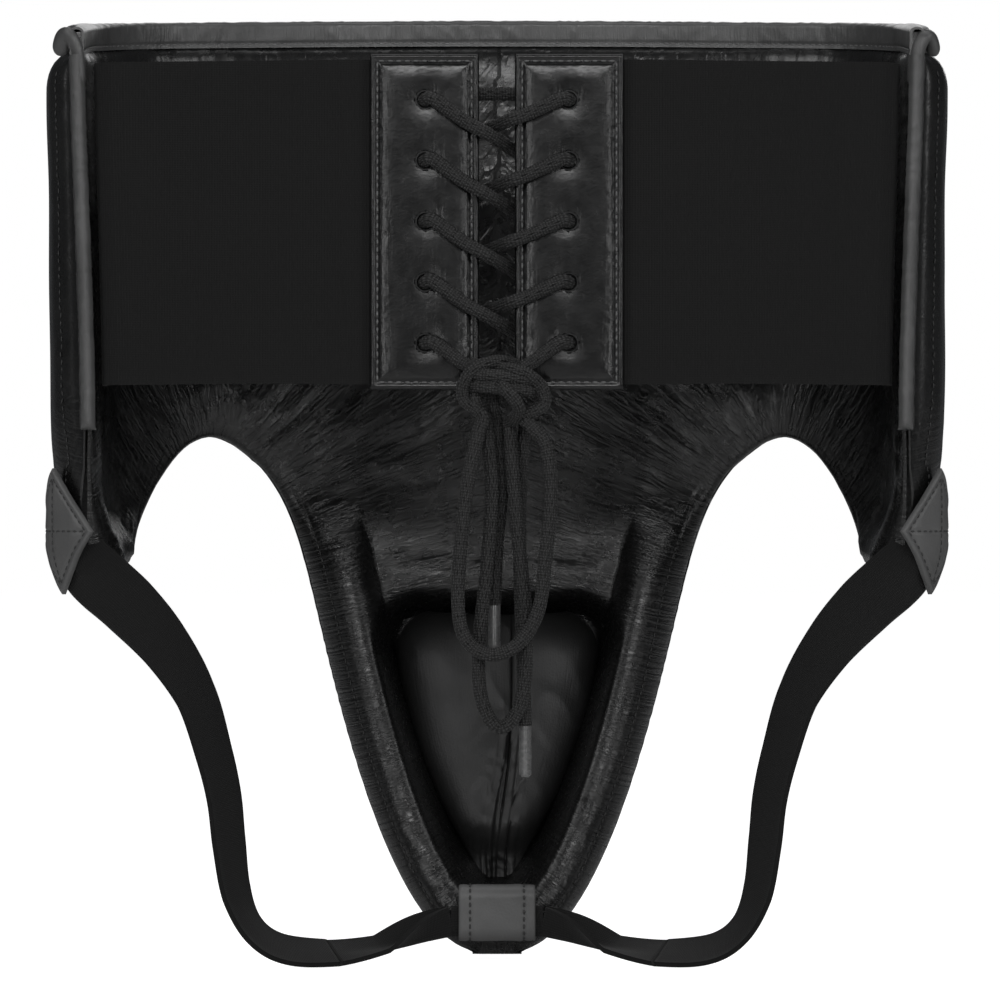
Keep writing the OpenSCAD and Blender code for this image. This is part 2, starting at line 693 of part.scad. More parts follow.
module strap_crossing() {
    color([0.05, 0.05, 0.05]) in_frame()
        translate([-loop_w / 2, loop_y, fold_z]) rotate([90, 0, 90])
            linear_extrude(loop_w) {
                difference() {
                    circle(r = fold_r + strap_t / 2, $fn = 48);
                    circle(r = fold_r - strap_t / 2, $fn = 48);
                    translate([-10, 0]) square([20, 20]);
                }
                for (s = [-1, 1])
                    translate([s * fold_r - strap_t / 2, 0]) square([strap_t, fold_leg]);
            }
}

// Leg strap from its seam under the patch to the loop, hanging in one upright plane.
// Each stop is x, height, turn of the webbing, and how much of it is gathered.
strap_stops = [
    [161, 157, 8, 0], [146, 143, 15, 0], [132, 127, 30, 0], [120, 107, 42, 0],
    [113, 84, 46, 0], [109, 66, 48, 0], [107, 48, 50, 0], [104, 28, 54, 0], [97, 13, 62, 0],
    [85, 5, 68, 0], [65, 3, 71, 0], [46, 4, 70, 0.1], [29, 8, 62, 0.6], [18.6, 13, 0, 1]
];
strap_start_y = -46;
strap_inset = 2; // from the widest place of the hips to the strap's seam
strap_start_x = hip_half_w - strap_inset;
gathered_w = fold_leg + fold_r;
gathered_t = 2 * fold_r;
// The stops spread out from the loop, so that the first one stays at the hip.
function strap_x(k) =
    let (first = strap_stops[0].x, last = strap_stops[len(strap_stops) - 1].x)
    mix(last, strap_start_x, (strap_stops[k].x - last) / (first - last));
function strap_y(x) =
    let (a = strap_start_x, b = loop_w / 2)
    mix(strap_start_y, loop_y, (a - x) / (a - b));
function strap_centre(k) = let (x = strap_x(k)) [x, strap_y(x), strap_stops[k][1]];

module leg_strap(side) {
    centres = [for (k = [0 : len(strap_stops) - 1]) strap_centre(k)];
    plane_normal = unit(cross(centres[0] - centres[len(centres) - 1], [0, 0, 1]));
    rings = [
        for (k = [0 : len(centres) - 1])
            let (
                t = tangent(centres, k),
                s = strap_stops[k],
                across_plane = plane_normal * (plane_normal.y > 0 ? 1 : -1),
                in_plane = cross(t, across_plane),
                wide = in_plane * (in_plane.x < 0 || in_plane.z > 0 ? 1 : -1) * cos(s[2])
                       + across_plane * sin(s[2]),
                thin = cross(t, wide),
                w = mix(strap_w, gathered_w, s[3]) / 2,
                h = mix(strap_t, gathered_t, s[3]) / 2
            )
            [centres[k] + wide * w + thin * h, centres[k] - wide * w + thin * h,
             centres[k] - wide * w - thin * h, centres[k] + wide * w - thin * h]
    ];
    color([0.05, 0.05, 0.05]) scale([side, 1, 1]) in_frame() loft(rings);
}

waist_panel();
hip_panel(-1);  // hip_panel_left
hip_panel(1);  // hip_panel_right
cup_panel();
body_lining();
cup_lining(-1);  // cup_lining_left
cup_lining(1);  // cup_lining_right
waist_foam();
hip_foam(-1);  // hip_foam_left
hip_foam(1);  // hip_foam_right
cup_foam();
rigid_cup();
rim_roll();
top_binding();
wing_binding(-1);  // wing_binding_left
wing_binding(1);  // wing_binding_right
elastic(-1);  // elastic_left
elastic(1);  // elastic_right
lacing_panel(-1);  // lacing_panel_left
lacing_panel(1);  // lacing_panel_right
panel_backing(-1);  // panel_backing_left
panel_backing(1);  // panel_backing_right
eyelets(-1);  // eyelets_left
eyelets(1);  // eyelets_right
eyelet_washers(-1);  // eyelet_washers_left
eyelet_washers(1);  // eyelet_washers_right
lace_run(-1);  // lace_run_left
lace_run(1);  // lace_run_right
lace_knot();
free_cord(upper_loop_route);  // bow_loop_upper
free_cord(lower_loop_route);  // bow_loop_lower
free_cord(long_tail_route);  // lace_tail_long
free_cord(short_tail_route);  // lace_tail_short
aglet(long_tail_route);  // aglet_long
aglet(short_tail_route);  // aglet_short
strap_patch(-1);  // strap_patch_left
strap_patch(1);  // strap_patch_right
leg_strap(-1);  // leg_strap_left
leg_strap(1);  // leg_strap_right
strap_crossing();
crotch_loop();
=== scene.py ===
import bpy
import bmesh
import math
import numpy as np
from mathutils import Matrix, Vector


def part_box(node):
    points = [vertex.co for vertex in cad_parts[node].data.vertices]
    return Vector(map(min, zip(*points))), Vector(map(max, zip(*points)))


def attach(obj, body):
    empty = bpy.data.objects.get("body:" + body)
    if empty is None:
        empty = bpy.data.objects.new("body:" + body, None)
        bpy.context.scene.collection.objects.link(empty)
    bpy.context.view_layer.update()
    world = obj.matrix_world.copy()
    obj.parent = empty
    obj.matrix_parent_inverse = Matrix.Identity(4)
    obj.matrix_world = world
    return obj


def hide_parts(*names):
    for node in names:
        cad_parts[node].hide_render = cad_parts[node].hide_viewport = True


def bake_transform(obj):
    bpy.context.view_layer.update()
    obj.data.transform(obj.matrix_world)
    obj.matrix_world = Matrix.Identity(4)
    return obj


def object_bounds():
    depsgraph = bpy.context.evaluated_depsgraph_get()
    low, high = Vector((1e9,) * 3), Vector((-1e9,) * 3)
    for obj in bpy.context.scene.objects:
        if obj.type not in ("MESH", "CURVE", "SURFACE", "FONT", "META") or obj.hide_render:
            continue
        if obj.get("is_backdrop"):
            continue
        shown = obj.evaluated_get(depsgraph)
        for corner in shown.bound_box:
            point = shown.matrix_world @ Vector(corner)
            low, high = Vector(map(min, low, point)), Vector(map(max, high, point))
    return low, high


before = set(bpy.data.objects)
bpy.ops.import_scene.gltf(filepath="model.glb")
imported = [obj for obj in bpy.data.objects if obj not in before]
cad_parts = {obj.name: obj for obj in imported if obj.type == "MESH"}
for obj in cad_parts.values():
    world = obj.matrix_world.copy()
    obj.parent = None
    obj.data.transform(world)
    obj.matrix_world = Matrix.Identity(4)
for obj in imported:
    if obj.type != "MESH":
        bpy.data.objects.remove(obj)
cadLow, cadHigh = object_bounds()
scene = bpy.context.scene
mm = 0.001
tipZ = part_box("body_lining")[0].z  # height of the cup's tip, from which the pad's heights are measured
print("frame loaded")


# Camera, lights and floor

view = {"place": (0.0012, -2.28, -0.1086), "lens": 203.0}
camera = bpy.data.cameras.new("camera")
camera.lens = view["lens"]
camera.clip_end = 50
cameraObject = bpy.data.objects.new("camera", camera)
cameraObject.location = view["place"]
cameraObject.rotation_euler = (math.pi / 2, 0, 0)
scene.collection.objects.link(cameraObject)
scene.camera = cameraObject

lamps = [  # name, place, target, width, height, watts
    ("keyLeft", (-1.7, -1.5, 1.1), (0, 0, -0.05), 0.8, 1.5, 13),
    ("keyRight", (1.8, -1.4, 0.9), (0, 0, -0.05), 0.7, 1.5, 11),
    ("topSoft", (0, -0.1, 1.9), (0, 0, 0), 1.6, 1.0, 9),
    ("frontSoft", (0.3, 2.2, 0.9), (0, 0, -0.05), 1.5, 1.2, 8),
    ("highFront", (0.05, -2.1, 0.72), (0, 0, -0.08), 1.0, 0.2, 9),
    ("stripLeft", (-0.66, -2.15, 0.0), (0, 0, -0.1), 0.1, 1.0, 3.6),
    ("stripRight", (0.7, -2.1, 0.0), (0, 0, -0.1), 0.1, 1.0, 3.2),
]
for name, place, target, width, height, watts in lamps:
    lamp = bpy.data.lights.new(name, "AREA")
    lamp.shape = "RECTANGLE"
    lamp.size = width
    lamp.size_y = height
    lamp.energy = watts
    lampObject = bpy.data.objects.new(name, lamp)
    lampObject.location = place
    aim = Vector(target) - Vector(place)
    lampObject.rotation_euler = aim.to_track_quat("-Z", "Y").to_euler()
    lampObject.visible_camera = False
    scene.collection.objects.link(lampObject)

scene.view_settings.view_transform = "Standard"
world = bpy.data.worlds.new("studio")
world.use_nodes = True
scene.world = world
worldNodes = world.node_tree.nodes
worldLinks = world.node_tree.links
worldNodes.clear()
lightPath = worldNodes.new("ShaderNodeLightPath")
dim = worldNodes.new("ShaderNodeBackground")
dim.inputs["Color"].default_value = (0.93, 0.96, 1.0, 1)
dim.inputs["Strength"].default_value = 0.07
plain = worldNodes.new("ShaderNodeBackground")
plain.inputs["Color"].default_value = (1, 1, 1, 1)
plain.inputs["Strength"].default_value = 1.0
chosen = worldNodes.new("ShaderNodeMixShader")
worldOut = worldNodes.new("ShaderNodeOutputWorld")
worldLinks.new(lightPath.outputs["Is Camera Ray"], chosen.inputs[0])
worldLinks.new(dim.outputs[0], chosen.inputs[1])
worldLinks.new(plain.outputs[0], chosen.inputs[2])
worldLinks.new(chosen.outputs[0], worldOut.inputs["Surface"])


# Shared helpers

def mix(a, b, t):
    return a + (b - a) * t


def smooth(a, b, x):
    t = np.clip((x - a) / (b - a), 0, 1)
    return t * t * (3 - 2 * t)


def rounded(t):
    k = 1 - np.clip(t, 0, 1)
    return np.sqrt(1 - k * k)


def hump(x, middle, spread):
    return np.exp(-((x - middle) / spread) ** 2)


def softNoise(x, y, seed):
    # smooth noise from 0 to 1 with cells one unit wide
    table = np.random.default_rng(seed).random((256, 256))
    i = np.floor(x).astype(int)
    j = np.floor(y).astype(int)
    s = x - i
    t = y - j
    s = s * s * (3 - 2 * s)
    t = t * t * (3 - 2 * t)
    low = mix(table[i & 255, j & 255], table[(i + 1) & 255, j & 255], s)
    high = mix(table[i & 255, (j + 1) & 255], table[(i + 1) & 255, (j + 1) & 255], s)
    return mix(low, high, t)


def creases(x, y, seed):
    # sharp-topped folds that run along y
    bend = 1.2 * softNoise(x * 0.3, y * 1.3, seed + 7)
    return (1 - np.abs(2 * softNoise(x + bend, y, seed) - 1)) ** 1.6


def gridSheet(name, cols, rows, place, keep=None, uv=None):
    # a closed sheet of two faces: place(a, b, k) puts its points, k is 0 on one face and 1 on the other
    bm = bmesh.new()
    bmesh.ops.create_grid(bm, x_segments=cols, y_segments=rows, size=0.5)
    if keep is not None:
        centres = np.array([f.calc_center_median()[:2] for f in bm.faces]) + 0.5
        wanted = keep(centres[:, 0], centres[:, 1])
        gone = [f for f, w in zip(bm.faces, wanted) if not w]
        bmesh.ops.delete(bm, geom=gone, context="FACES")
    grown = bmesh.ops.extrude_face_region(bm, geom=bm.faces[:], use_keep_orig=True)
    top = [v for v in grown["geom"] if isinstance(v, bmesh.types.BMVert)]
    bmesh.ops.translate(bm, verts=top, vec=(0, 0, 1))
    return meshPiece(name, bm, place, uv)


def meshPiece(name, bm, place, uv=None):
    # moves the flat grid's points into place, with the maps that the finishes follow
    mesh = bpy.data.meshes.new(name)
    bm.to_mesh(mesh)
    bm.free()
    flat = np.zeros(len(mesh.vertices) * 3)
    mesh.vertices.foreach_get("co", flat)
    flat = flat.reshape(-1, 3)
    a = np.clip(flat[:, 0] + 0.5, 0, 1)
    b = np.clip(flat[:, 1] + 0.5, 0, 1)
    k = flat[:, 2]
    points = place(a, b, k)
    mesh.vertices.foreach_set("co", points.astype(np.float32).ravel())
    corner = np.zeros(len(mesh.loops), np.int32)
    mesh.loops.foreach_get("vertex_index", corner)
    for mapName, values in (uv(a, b, k) if uv else {}).items():
        layer = mesh.uv_layers.new(name=mapName)
        layer.data.foreach_set("uv", values[corner].astype(np.float32).ravel())
    return newObject(name, mesh, outward=True, sharp=80)


def newObject(name, mesh, outward=False, sharp=50):
    if outward:
        bm = bmesh.new()
        bm.from_mesh(mesh)
        bmesh.ops.recalc_face_normals(bm, faces=bm.faces[:])
        bm.to_mesh(mesh)
        bm.free()
    piece = bpy.data.objects.new(name, mesh)
    scene.collection.objects.link(piece)
    return shadeSmooth(piece, sharp)


def shadeSmooth(piece, sharp):
    # rounded all over, but for edges sharper than the angle
    piece.data.polygons.foreach_set("use_smooth", [True] * len(piece.data.polygons))
    piece.data.set_sharp_from_angle(angle=math.radians(sharp))
    return piece


def dress(piece, material, body=None, replaced=()):
    piece.data.materials.clear()
    piece.data.materials.append(material)
    if body:
        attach(piece, body)
    if replaced:
        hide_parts(*replaced)
    return piece


def runningLength(points):
    # how far each point is along the line
    return np.concatenate([[0], np.cumsum(np.linalg.norm(np.diff(points, axis=0), axis=1))])


def throughPoints(points, step):
    # a smooth curve through the points, sampled evenly
    p = np.array(points, float)
    p = np.vstack([2 * p[0] - p[1], p, 2 * p[-1] - p[-2]])
    curve = []
    for i in range(1, len(p) - 2):
        t = np.linspace(0, 1, 24, endpoint=False)[:, None]
        a, b, c, d = p[i - 1], p[i], p[i + 1], p[i + 2]
        curve.append(0.5 * (2 * b + (c - a) * t + (2 * a - 5 * b + 4 * c - d) * t ** 2
                            + (3 * b - a - 3 * c + d) * t ** 3))
    curve = np.vstack(curve + [p[-2]])
    far = runningLength(curve)
    count = max(2, int(round(far[-1] / step)) + 1)
    want = np.linspace(0, far[-1], count)
    return np.stack([np.interp(want, far, curve[:, i]) for i in range(3)], -1)


def lengthOf(points):
    return float(np.linalg.norm(np.diff(np.array(points), axis=0), axis=1).sum())


def framesAlong(points):
    # tangents and two cross directions that don't twist along the curve
    t = np.gradient(points, axis=0)
    t /= np.linalg.norm(t, axis=1)[:, None]
    side = np.zeros_like(t)
    s = np.array((0.3, 0.2, 0.9))
    for i in range(len(t)):
        s = s - t[i] * (s @ t[i])
        s /= np.linalg.norm(s)
        side[i] = s
    return t, side, np.cross(t, side)


def sweepTube(name, points, radius, sides, frames=None, mapStart=0.0):
    # a closed tube along the points; radius(along, angle) may vary
    rings = len(points)
    t, side, up = frames if frames else framesAlong(points)
    far = runningLength(points)
    bm = bmesh.new()
    bmesh.ops.create_grid(bm, x_segments=rings - 1, y_segments=sides, size=0.5)

    def place(a, b, k):
        i = np.round(a * (rings - 1)).astype(int)
        angle = 2 * math.pi * b
        r = radius(far[i] + mapStart, angle)
        ra, rb = r if isinstance(r, tuple) else (r, r)
        return points[i] + side[i] * (ra * np.cos(angle))[:, None] + up[i] * (rb * np.sin(angle))[:, None]

    def uv(a, b, k):
        i = np.round(a * (rings - 1)).astype(int)
        return {"along": np.stack([far[i] + mapStart, b], -1)}

    piece = meshPiece(name, bm, place, uv)
    bm = bmesh.new()
    bm.from_mesh(piece.data)
    bmesh.ops.remove_doubles(bm, verts=bm.verts[:], dist=1e-6)
    ends = [e for e in bm.edges if len(e.link_faces) == 1]
    bmesh.ops.holes_fill(bm, edges=ends, sides=0)
    bmesh.ops.recalc_face_normals(bm, faces=bm.faces[:])
    bm.to_mesh(piece.data)
    bm.free()
    return shadeSmooth(piece, 60)


def joined(name, parts):
    # several meshes as one piece
    bm = bmesh.new()
    for part in parts:
        bm.from_mesh(part.data)
        bpy.data.objects.remove(part)
    mesh = bpy.data.meshes.new(name)
    bm.to_mesh(mesh)
    bm.free()
    piece = bpy.data.objects.new(name, mesh)
    scene.collection.objects.link(piece)
    return piece


def stitchMesh():
    bm = bmesh.new()
    bmesh.ops.create_uvsphere(bm, u_segments=6, v_segments=4, radius=1)
    mesh = bpy.data.meshes.new("stitch")
    bm.to_mesh(mesh)
    bm.free()
    return mesh


stitchShape = stitchMesh()


def stitches(name, rows, long, pitch, thick):
    # rows of thread stitches; each row is points on a face and the face's normals, in metres
    reach = 0.4 * mm
    bm = bmesh.new()
    for points, normals in rows:
        points = np.array(points)
        normals = np.array(normals)
        far = runningLength(points)
        count = int(far[-1] / (pitch * mm))
        for n in range(count):
            at = (n + 0.5) * far[-1] / count
            spot = np.array([np.interp(at, far, points[:, i]) for i in range(3)])
            fore = np.array([np.interp(at + reach, far, points[:, i]) for i in range(3)])
            back = np.array([np.interp(at - reach, far, points[:, i]) for i in range(3)])
            up = np.array([np.interp(at, far, normals[:, i]) for i in range(3)])
            x = fore - back
            x /= np.linalg.norm(x)
            up -= x * (up @ x)
            up /= np.linalg.norm(up)
            y = np.cross(up, x)
            m = Matrix(((x[0], y[0], up[0], spot[0]), (x[1], y[1], up[1], spot[1]),
                        (x[2], y[2], up[2], spot[2]), (0, 0, 0, 1)))
            m = m @ Matrix.Diagonal((long * mm / 2, thick * mm, thick * mm * 0.8, 1))
            one = stitchShape.copy()
            one.transform(m)
            bm.from_mesh(one)
            bpy.data.meshes.remove(one)
    mesh = bpy.data.meshes.new(name)
    bm.to_mesh(mesh)
    bm.free()
    return newObject(name, mesh, sharp=180)


# Finishes

def newFinish(name):
    material = bpy.data.materials.new(name)
    material.use_nodes = True
    tree = material.node_tree
    return material, tree.nodes, tree.links, tree.nodes["Principled BSDF"]


def sockets(shader, values):
    for socket, value in values.items():
        shader.inputs[socket].default_value = value


def objectSpace(nodes, links, scale):
    place = nodes.new("ShaderNodeTexCoord")
    mapping = nodes.new("ShaderNodeMapping")
    mapping.inputs["Scale"].default_value = scale if isinstance(scale, tuple) else (scale,) * 3
    links.new(place.outputs["Object"], mapping.inputs["Vector"])
    return mapping.outputs["Vector"]


def mapSpace(nodes, links, mapName, scale):
    place = nodes.new("ShaderNodeUVMap")
    place.uv_map = mapName
    mapping = nodes.new("ShaderNodeMapping")
    mapping.inputs["Scale"].default_value = scale
    links.new(place.outputs["UV"], mapping.inputs["Vector"])
    return mapping.outputs["Vector"]


def noiseOf(nodes, links, vector, detail=3.0, rough=0.55):
    noise = nodes.new("ShaderNodeTexNoise")
    noise.inputs["Scale"].default_value = 1
    noise.inputs["Detail"].default_value = detail
    noise.inputs["Roughness"].default_value = rough
    links.new(vector, noise.inputs["Vector"])
    return noise.outputs["Fac"]


def rampOf(nodes, links, source, stops):
    ramp = nodes.new("ShaderNodeValToRGB")
    while len(ramp.color_ramp.elements) < len(stops):
        ramp.color_ramp.elements.new(0.5)
    for element, (at, value) in zip(ramp.color_ramp.elements, stops):
        element.position = at
        element.color = (*value, 1) if isinstance(value, tuple) else (value, value, value, 1)
    links.new(source, ramp.inputs["Fac"])
    return ramp.outputs["Color"]


def bumpOf(nodes, links, height, strength, distance, below=None):
    bump = nodes.new("ShaderNodeBump")
    bump.inputs["Strength"].default_value = strength
    bump.inputs["Distance"].default_value = distance
    links.new(height, bump.inputs["Height"])
    if below is not None:
        links.new(below, bump.inputs["Normal"])
    return bump.outputs["Normal"]


def leatherFinish(name, dark, light, gloss, grain=0.5, wrinkle=0.0, wrinkleMap=None, coat=0.25):
    # smooth-grained leather: fine pebbles, soft mottling, and creases that follow a map
    material, nodes, links, shader = newFinish(name)
    mottle = noiseOf(nodes, links, objectSpace(nodes, links, 38.0), 4)
    tint = rampOf(nodes, links, mottle, [(0.3, dark), (0.72, light)])
    links.new(tint, shader.inputs["Base Color"])
    scuff = noiseOf(nodes, links, objectSpace(nodes, links, 160.0), 5, 0.65)
    rough = rampOf(nodes, links, scuff, [(0.3, gloss - 0.03), (0.75, gloss + 0.05)])
    links.new(rough, shader.inputs["Roughness"])
    cells = nodes.new("ShaderNodeTexVoronoi")
    cells.feature = "SMOOTH_F1"
    cells.inputs["Scale"].default_value = 1
    links.new(objectSpace(nodes, links, 1150.0), cells.inputs["Vector"])
    normal = bumpOf(nodes, links, cells.outputs["Distance"], grain, 0.00012)
    fold = noiseOf(nodes, links, objectSpace(nodes, links, 420.0), 4, 0.6)
    normal = bumpOf(nodes, links, fold, 0.35, 0.0002, normal)
    if wrinkle:
        crease = noiseOf(nodes, links, mapSpace(nodes, links, wrinkleMap, (360.0, 30.0, 1.0)), 3, 0.6)
        sharp = rampOf(nodes, links, crease, [(0.38, 0.0), (0.5, 1.0), (0.62, 0.0)])
        normal = bumpOf(nodes, links, sharp, wrinkle, 0.0005, normal)
    links.new(normal, shader.inputs["Normal"])
    sockets(shader, {"Specular IOR Level": 0.5, "Coat Weight": coat, "Coat Roughness": 0.3})
    return material


def weaveFinish(name, dark, light, mapName, scale, depth, rough=0.8, sheen=0.3):
    # threads over and under each other on a map in metres
    material, nodes, links, shader = newFinish(name)
    vector = mapSpace(nodes, links, mapName, (scale[0], scale[1], 1.0))
    waves = []
    for direction in ("X", "Y"):
        wave = nodes.new("ShaderNodeTexWave")
        wave.wave_type = "BANDS"
        wave.bands_direction = direction
        wave.inputs["Scale"].default_value = 0.5
        wave.inputs["Distortion"].default_value = 0.6
        wave.inputs["Detail"].default_value = 2
        links.new(vector, wave.inputs["Vector"])
        waves.append(wave.outputs["Fac"])
    cross = nodes.new("ShaderNodeMath")
    cross.operation = "MULTIPLY"
    links.new(waves[0], cross.inputs[0])
    links.new(waves[1], cross.inputs[1])
    fuzz = noiseOf(nodes, links, objectSpace(nodes, links, 900.0), 3)
    both = nodes.new("ShaderNodeMath")
    both.operation = "MULTIPLY_ADD"
    both.inputs[1].default_value = 0.5
    links.new(fuzz, both.inputs[0])
    links.new(cross.outputs[0], both.inputs[2])
    tint = rampOf(nodes, links, both.outputs[0], [(0.2, dark), (0.95, light)])
    links.new(tint, shader.inputs["Base Color"])
    links.new(bumpOf(nodes, links, both.outputs[0], 0.6, depth), shader.inputs["Normal"])
    sockets(shader, {"Roughness": rough, "Sheen Weight": sheen, "Sheen Roughness": 0.5,
                     "Specular IOR Level": 0.3})
    return material


def plainFinish(name, dark, light, rough, metal=0.0, coat=0.0, scale=300.0, bump=0.2):
    # moulded or enamelled surface with a faint texture and wear
    material, nodes, links, shader = newFinish(name)
    speckle = noiseOf(nodes, links, objectSpace(nodes, links, scale), 5)
    links.new(rampOf(nodes, links, speckle, [(0.35, dark), (0.7, light)]), shader.inputs["Base Color"])
    worn = noiseOf(nodes, links, objectSpace(nodes, links, scale / 3), 4)
    links.new(rampOf(nodes, links, worn, [(0.3, rough - 0.05), (0.8, rough + 0.12)]),
              shader.inputs["Roughness"])
    links.new(bumpOf(nodes, links, speckle, bump, 0.0001), shader.inputs["Normal"])
    sockets(shader, {"Metallic": metal, "Coat Weight": coat, "Coat Roughness": 0.15})
    return material


coverLeather = leatherFinish("coverLeather", 0.004, 0.01, 0.26, 0.4, 0.2, "edge")
liningLeather = leatherFinish("liningLeather", 0.003, 0.008, 0.27, 0.25, 0.55, "edge", 0.2)
# The pouch's base colour is lighter than the lining's as painted light, standing in for light that falls into
# the shaded hollow
pouchLeatherPaintedLight = leatherFinish("pouchLeatherPaintedLight", 0.007, 0.014, 0.48, 0.6, 0.15, "edge", 0.05)
panelLeather = leatherFinish("panelLeather", 0.002, 0.004, 0.24, 0.15, 0.06, "edge", 0.0)
bindingLeather = leatherFinish("bindingLeather", 0.05, 0.08, 0.34, 0.3, 0.2, "edge", 0.2)
patchLeather = leatherFinish("patchLeather", 0.075, 0.11, 0.5, 0.6, 0.0, None, 0.05)
threadDark = plainFinish("threadDark", 0.02, 0.05, 0.6, scale=2500.0)
threadPale = plainFinish("threadPale", 0.09, 0.17, 0.55, scale=2500.0)
elasticWeave = weaveFinish("elasticWeave", 0.0035, 0.009, "cloth", (1150.0, 900.0), 0.00016, 0.85, 0.04)
webbingWeave = weaveFinish("webbingWeave", 0.004, 0.011, "cloth", (900.0, 620.0), 0.0002, 0.85, 0.05)
laceBraid = weaveFinish("laceBraid", 0.002, 0.045, "along", (560.0, 10.0), 0.0005, 0.5, 0.05)
eyeletEnamel = plainFinish("eyeletEnamel", 0.01, 0.03, 0.28, 0.6, 0.5)
agletPlastic = plainFinish("agletPlastic", 0.08, 0.13, 0.25, 0.0, 0.6, 700.0)
foamFinish = plainFinish("foamFinish", 0.05, 0.12, 0.85, scale=900.0, bump=0.9)
cupPlastic = plainFinish("cupPlastic", 0.5, 0.6, 0.35, scale=120.0)


# Shape of the pad, in millimetres from the tip of the cup

pad = {
    "hipHalf": 163.0, "frontDepth": 72.0, "wingReach": 62.0, "wingCurl": 4.0, "power": 2.6,
    "archZ": 211.0, "hipLowZ": 151.0, "wingLowZ": 214.0, "topZ": 369.0, "frontRise": 14.0,
    "frontT": 38.0, "hipT": 16.4, "boundT": 7.0, "bindingW": 9.0,
    "cupHalf": 86.0, "cupFlare": 11.0, "cupSweep": 55.0, "cupT": 46.0, "cupBulge": 9.0,
    "hollow": 24.0, "rollH": 13.0, "leather": 1.4, "gap": 0.3, "belly": 4.0,
}
wing = {"edgeT": 3.4, "lean": 5.0}  # thickness under the bindings, and how far the tops lean out
power = pad["power"]  # roundness of the waist in plan
joinZ = pad["archZ"] - 13
joinW = pad["cupHalf"] + pad["cupFlare"]
boundW = pad["bindingW"] + 2 * pad["gap"]
seamT = 2 * pad["leather"] + pad["gap"]
padRound = 22.0
frontShare = 0.65
joinQ = math.asin((joinW / pad["hipHalf"]) ** (power / 2)) * 2 / math.pi


def frontY(x):
    return pad["frontDepth"] * (1 - np.minimum(np.abs(x) / pad["hipHalf"], 1) ** power) ** (1 / power)


def frontNormal(x, y):
    nx = (x / pad["hipHalf"]) ** (power - 1) / pad["hipHalf"]
    ny = (np.maximum(y, 0) / pad["frontDepth"]) ** (power - 1) / pad["frontDepth"]
    size = np.hypot(nx, ny)
    return nx / size, ny / size


def hipAt(h):
    # place and normal along the hip and wing
    q = mix(joinQ, 1, np.clip(h / frontShare, 0, 1)) * math.pi / 2
    k = np.maximum((h - frontShare) / (1 - frontShare), 0)
    ahead = h < frontShare
    x = np.where(ahead, pad["hipHalf"] * np.sin(q) ** (2 / power), pad["hipHalf"] - pad["wingCurl"] * k * k)
    y = np.where(ahead, pad["frontDepth"] * np.abs(np.cos(q)) ** (2 / power), -pad["wingReach"] * k)
    fx, fy = frontNormal(x, y)
    size = np.hypot(pad["wingReach"], 2 * pad["wingCurl"] * k)
    nx = np.where(ahead, fx, pad["wingReach"] / size)
    ny = np.where(ahead, fy, -2 * pad["wingCurl"] * k / size)
    return x, y, nx, ny


hipX, hipY, _, _ = hipAt(np.linspace(0, 1, 41))
hipLen = float(np.hypot(np.diff(hipX), np.diff(hipY)).sum())
wingU = joinW + hipLen


def cupWidth(z):
    t = np.clip(z / joinZ, 0, 1)
    return np.maximum(10, pad["cupHalf"] * t ** 0.42 + pad["cupFlare"] * t ** 12)


def lowZ(h):
    low = pad["hipLowZ"]
    top = pad["archZ"]
    return np.select(
        [h < 0.115, h < 0.5, h < 0.84],
        [mix(joinZ, top, np.sin(np.clip(h / 0.115, 0, 1) * math.pi / 2)),
         mix(low + 4, top, 0.5 + 0.5 * np.cos(math.pi * np.clip((h - 0.115) / 0.385, 0, 1))),
         mix(low + 4, low, np.clip((h - 0.5) / 0.34, 0, 1))],
        mix(low, pad["wingLowZ"], smooth(0.84, 1, h)))


def highZ(u):
    return pad["topZ"] + pad["frontRise"] * (1 - np.clip(np.abs(u) / wingU, 0, 1) ** 2.5)


def wingLean(h, z):
    k = np.clip((h - frontShare) / (1 - frontShare), 0, 1)
    return wing["lean"] * k * k * smooth(pad["wingLowZ"] - 10, pad["topZ"] + 30, z)


def padPlace(u, z, level):
    # a point of the pad in metres: u round the waist, z up from the tip, level out from the lining
    side = np.where(u < 0, -1.0, 1.0)
    a = np.abs(u)
    near = a <= joinW + 1e-6
    fx = np.minimum(a, joinW)
    fy = frontY(fx)
    hx, hy, hnx, hny = hipAt(np.clip((a - joinW) / hipLen, 0, 1))
    fnx, fny = frontNormal(fx, fy)
    sweep = pad["cupSweep"] * np.clip(1 - z / joinZ, 0, 1) ** 1.6
    x = np.where(near, fx, hx + wingLean((a - joinW) / hipLen, z)) + np.where(near, fnx, hnx) * level
    y = np.where(near, fy - sweep, hy) + np.where(near, fny, hny) * level
    return np.stack([side * x * mm, y * mm, z * mm + tipZ], -1)


def openEdge():
    h = np.linspace(1, 0, 700)
    z = np.linspace(joinZ, 0, 700)
    u = np.concatenate([-(joinW + hipLen * h), -cupWidth(z), np.linspace(-10, 10, 60)])
    v = np.concatenate([lowZ(h), z, np.zeros(60)])
    line = np.stack([np.concatenate([u, -u[::-1]]), np.concatenate([v, v[::-1]])], -1)
    far = runningLength(line)
    even = np.arange(0, far[-1], 0.4)
    return np.stack([np.interp(even, far, line[:, i]) for i in range(2)], -1), even


edgeLine, edgeFar = openEdge()


def nearEdge(u, z):
    # distance to the unbound edge, and where along it the nearest place is
    step = 10
    coarse = edgeLine[::step]
    spot = np.stack([u, z], -1)
    best = np.zeros(len(spot), int)
    for start in range(0, len(spot), 4000):
        d = ((spot[start:start + 4000, None] - coarse[None]) ** 2).sum(-1)
        best[start:start + 4000] = d.argmin(1) * step
    around = np.clip(best[:, None] + np.arange(-step, step + 1), 0, len(edgeLine) - 1)
    d = np.linalg.norm(edgeLine[around] - spot[:, None], axis=-1)
    pick = d.argmin(1)
    rows = np.arange(len(spot))
    return d[rows, pick], edgeFar[around[rows, pick]]


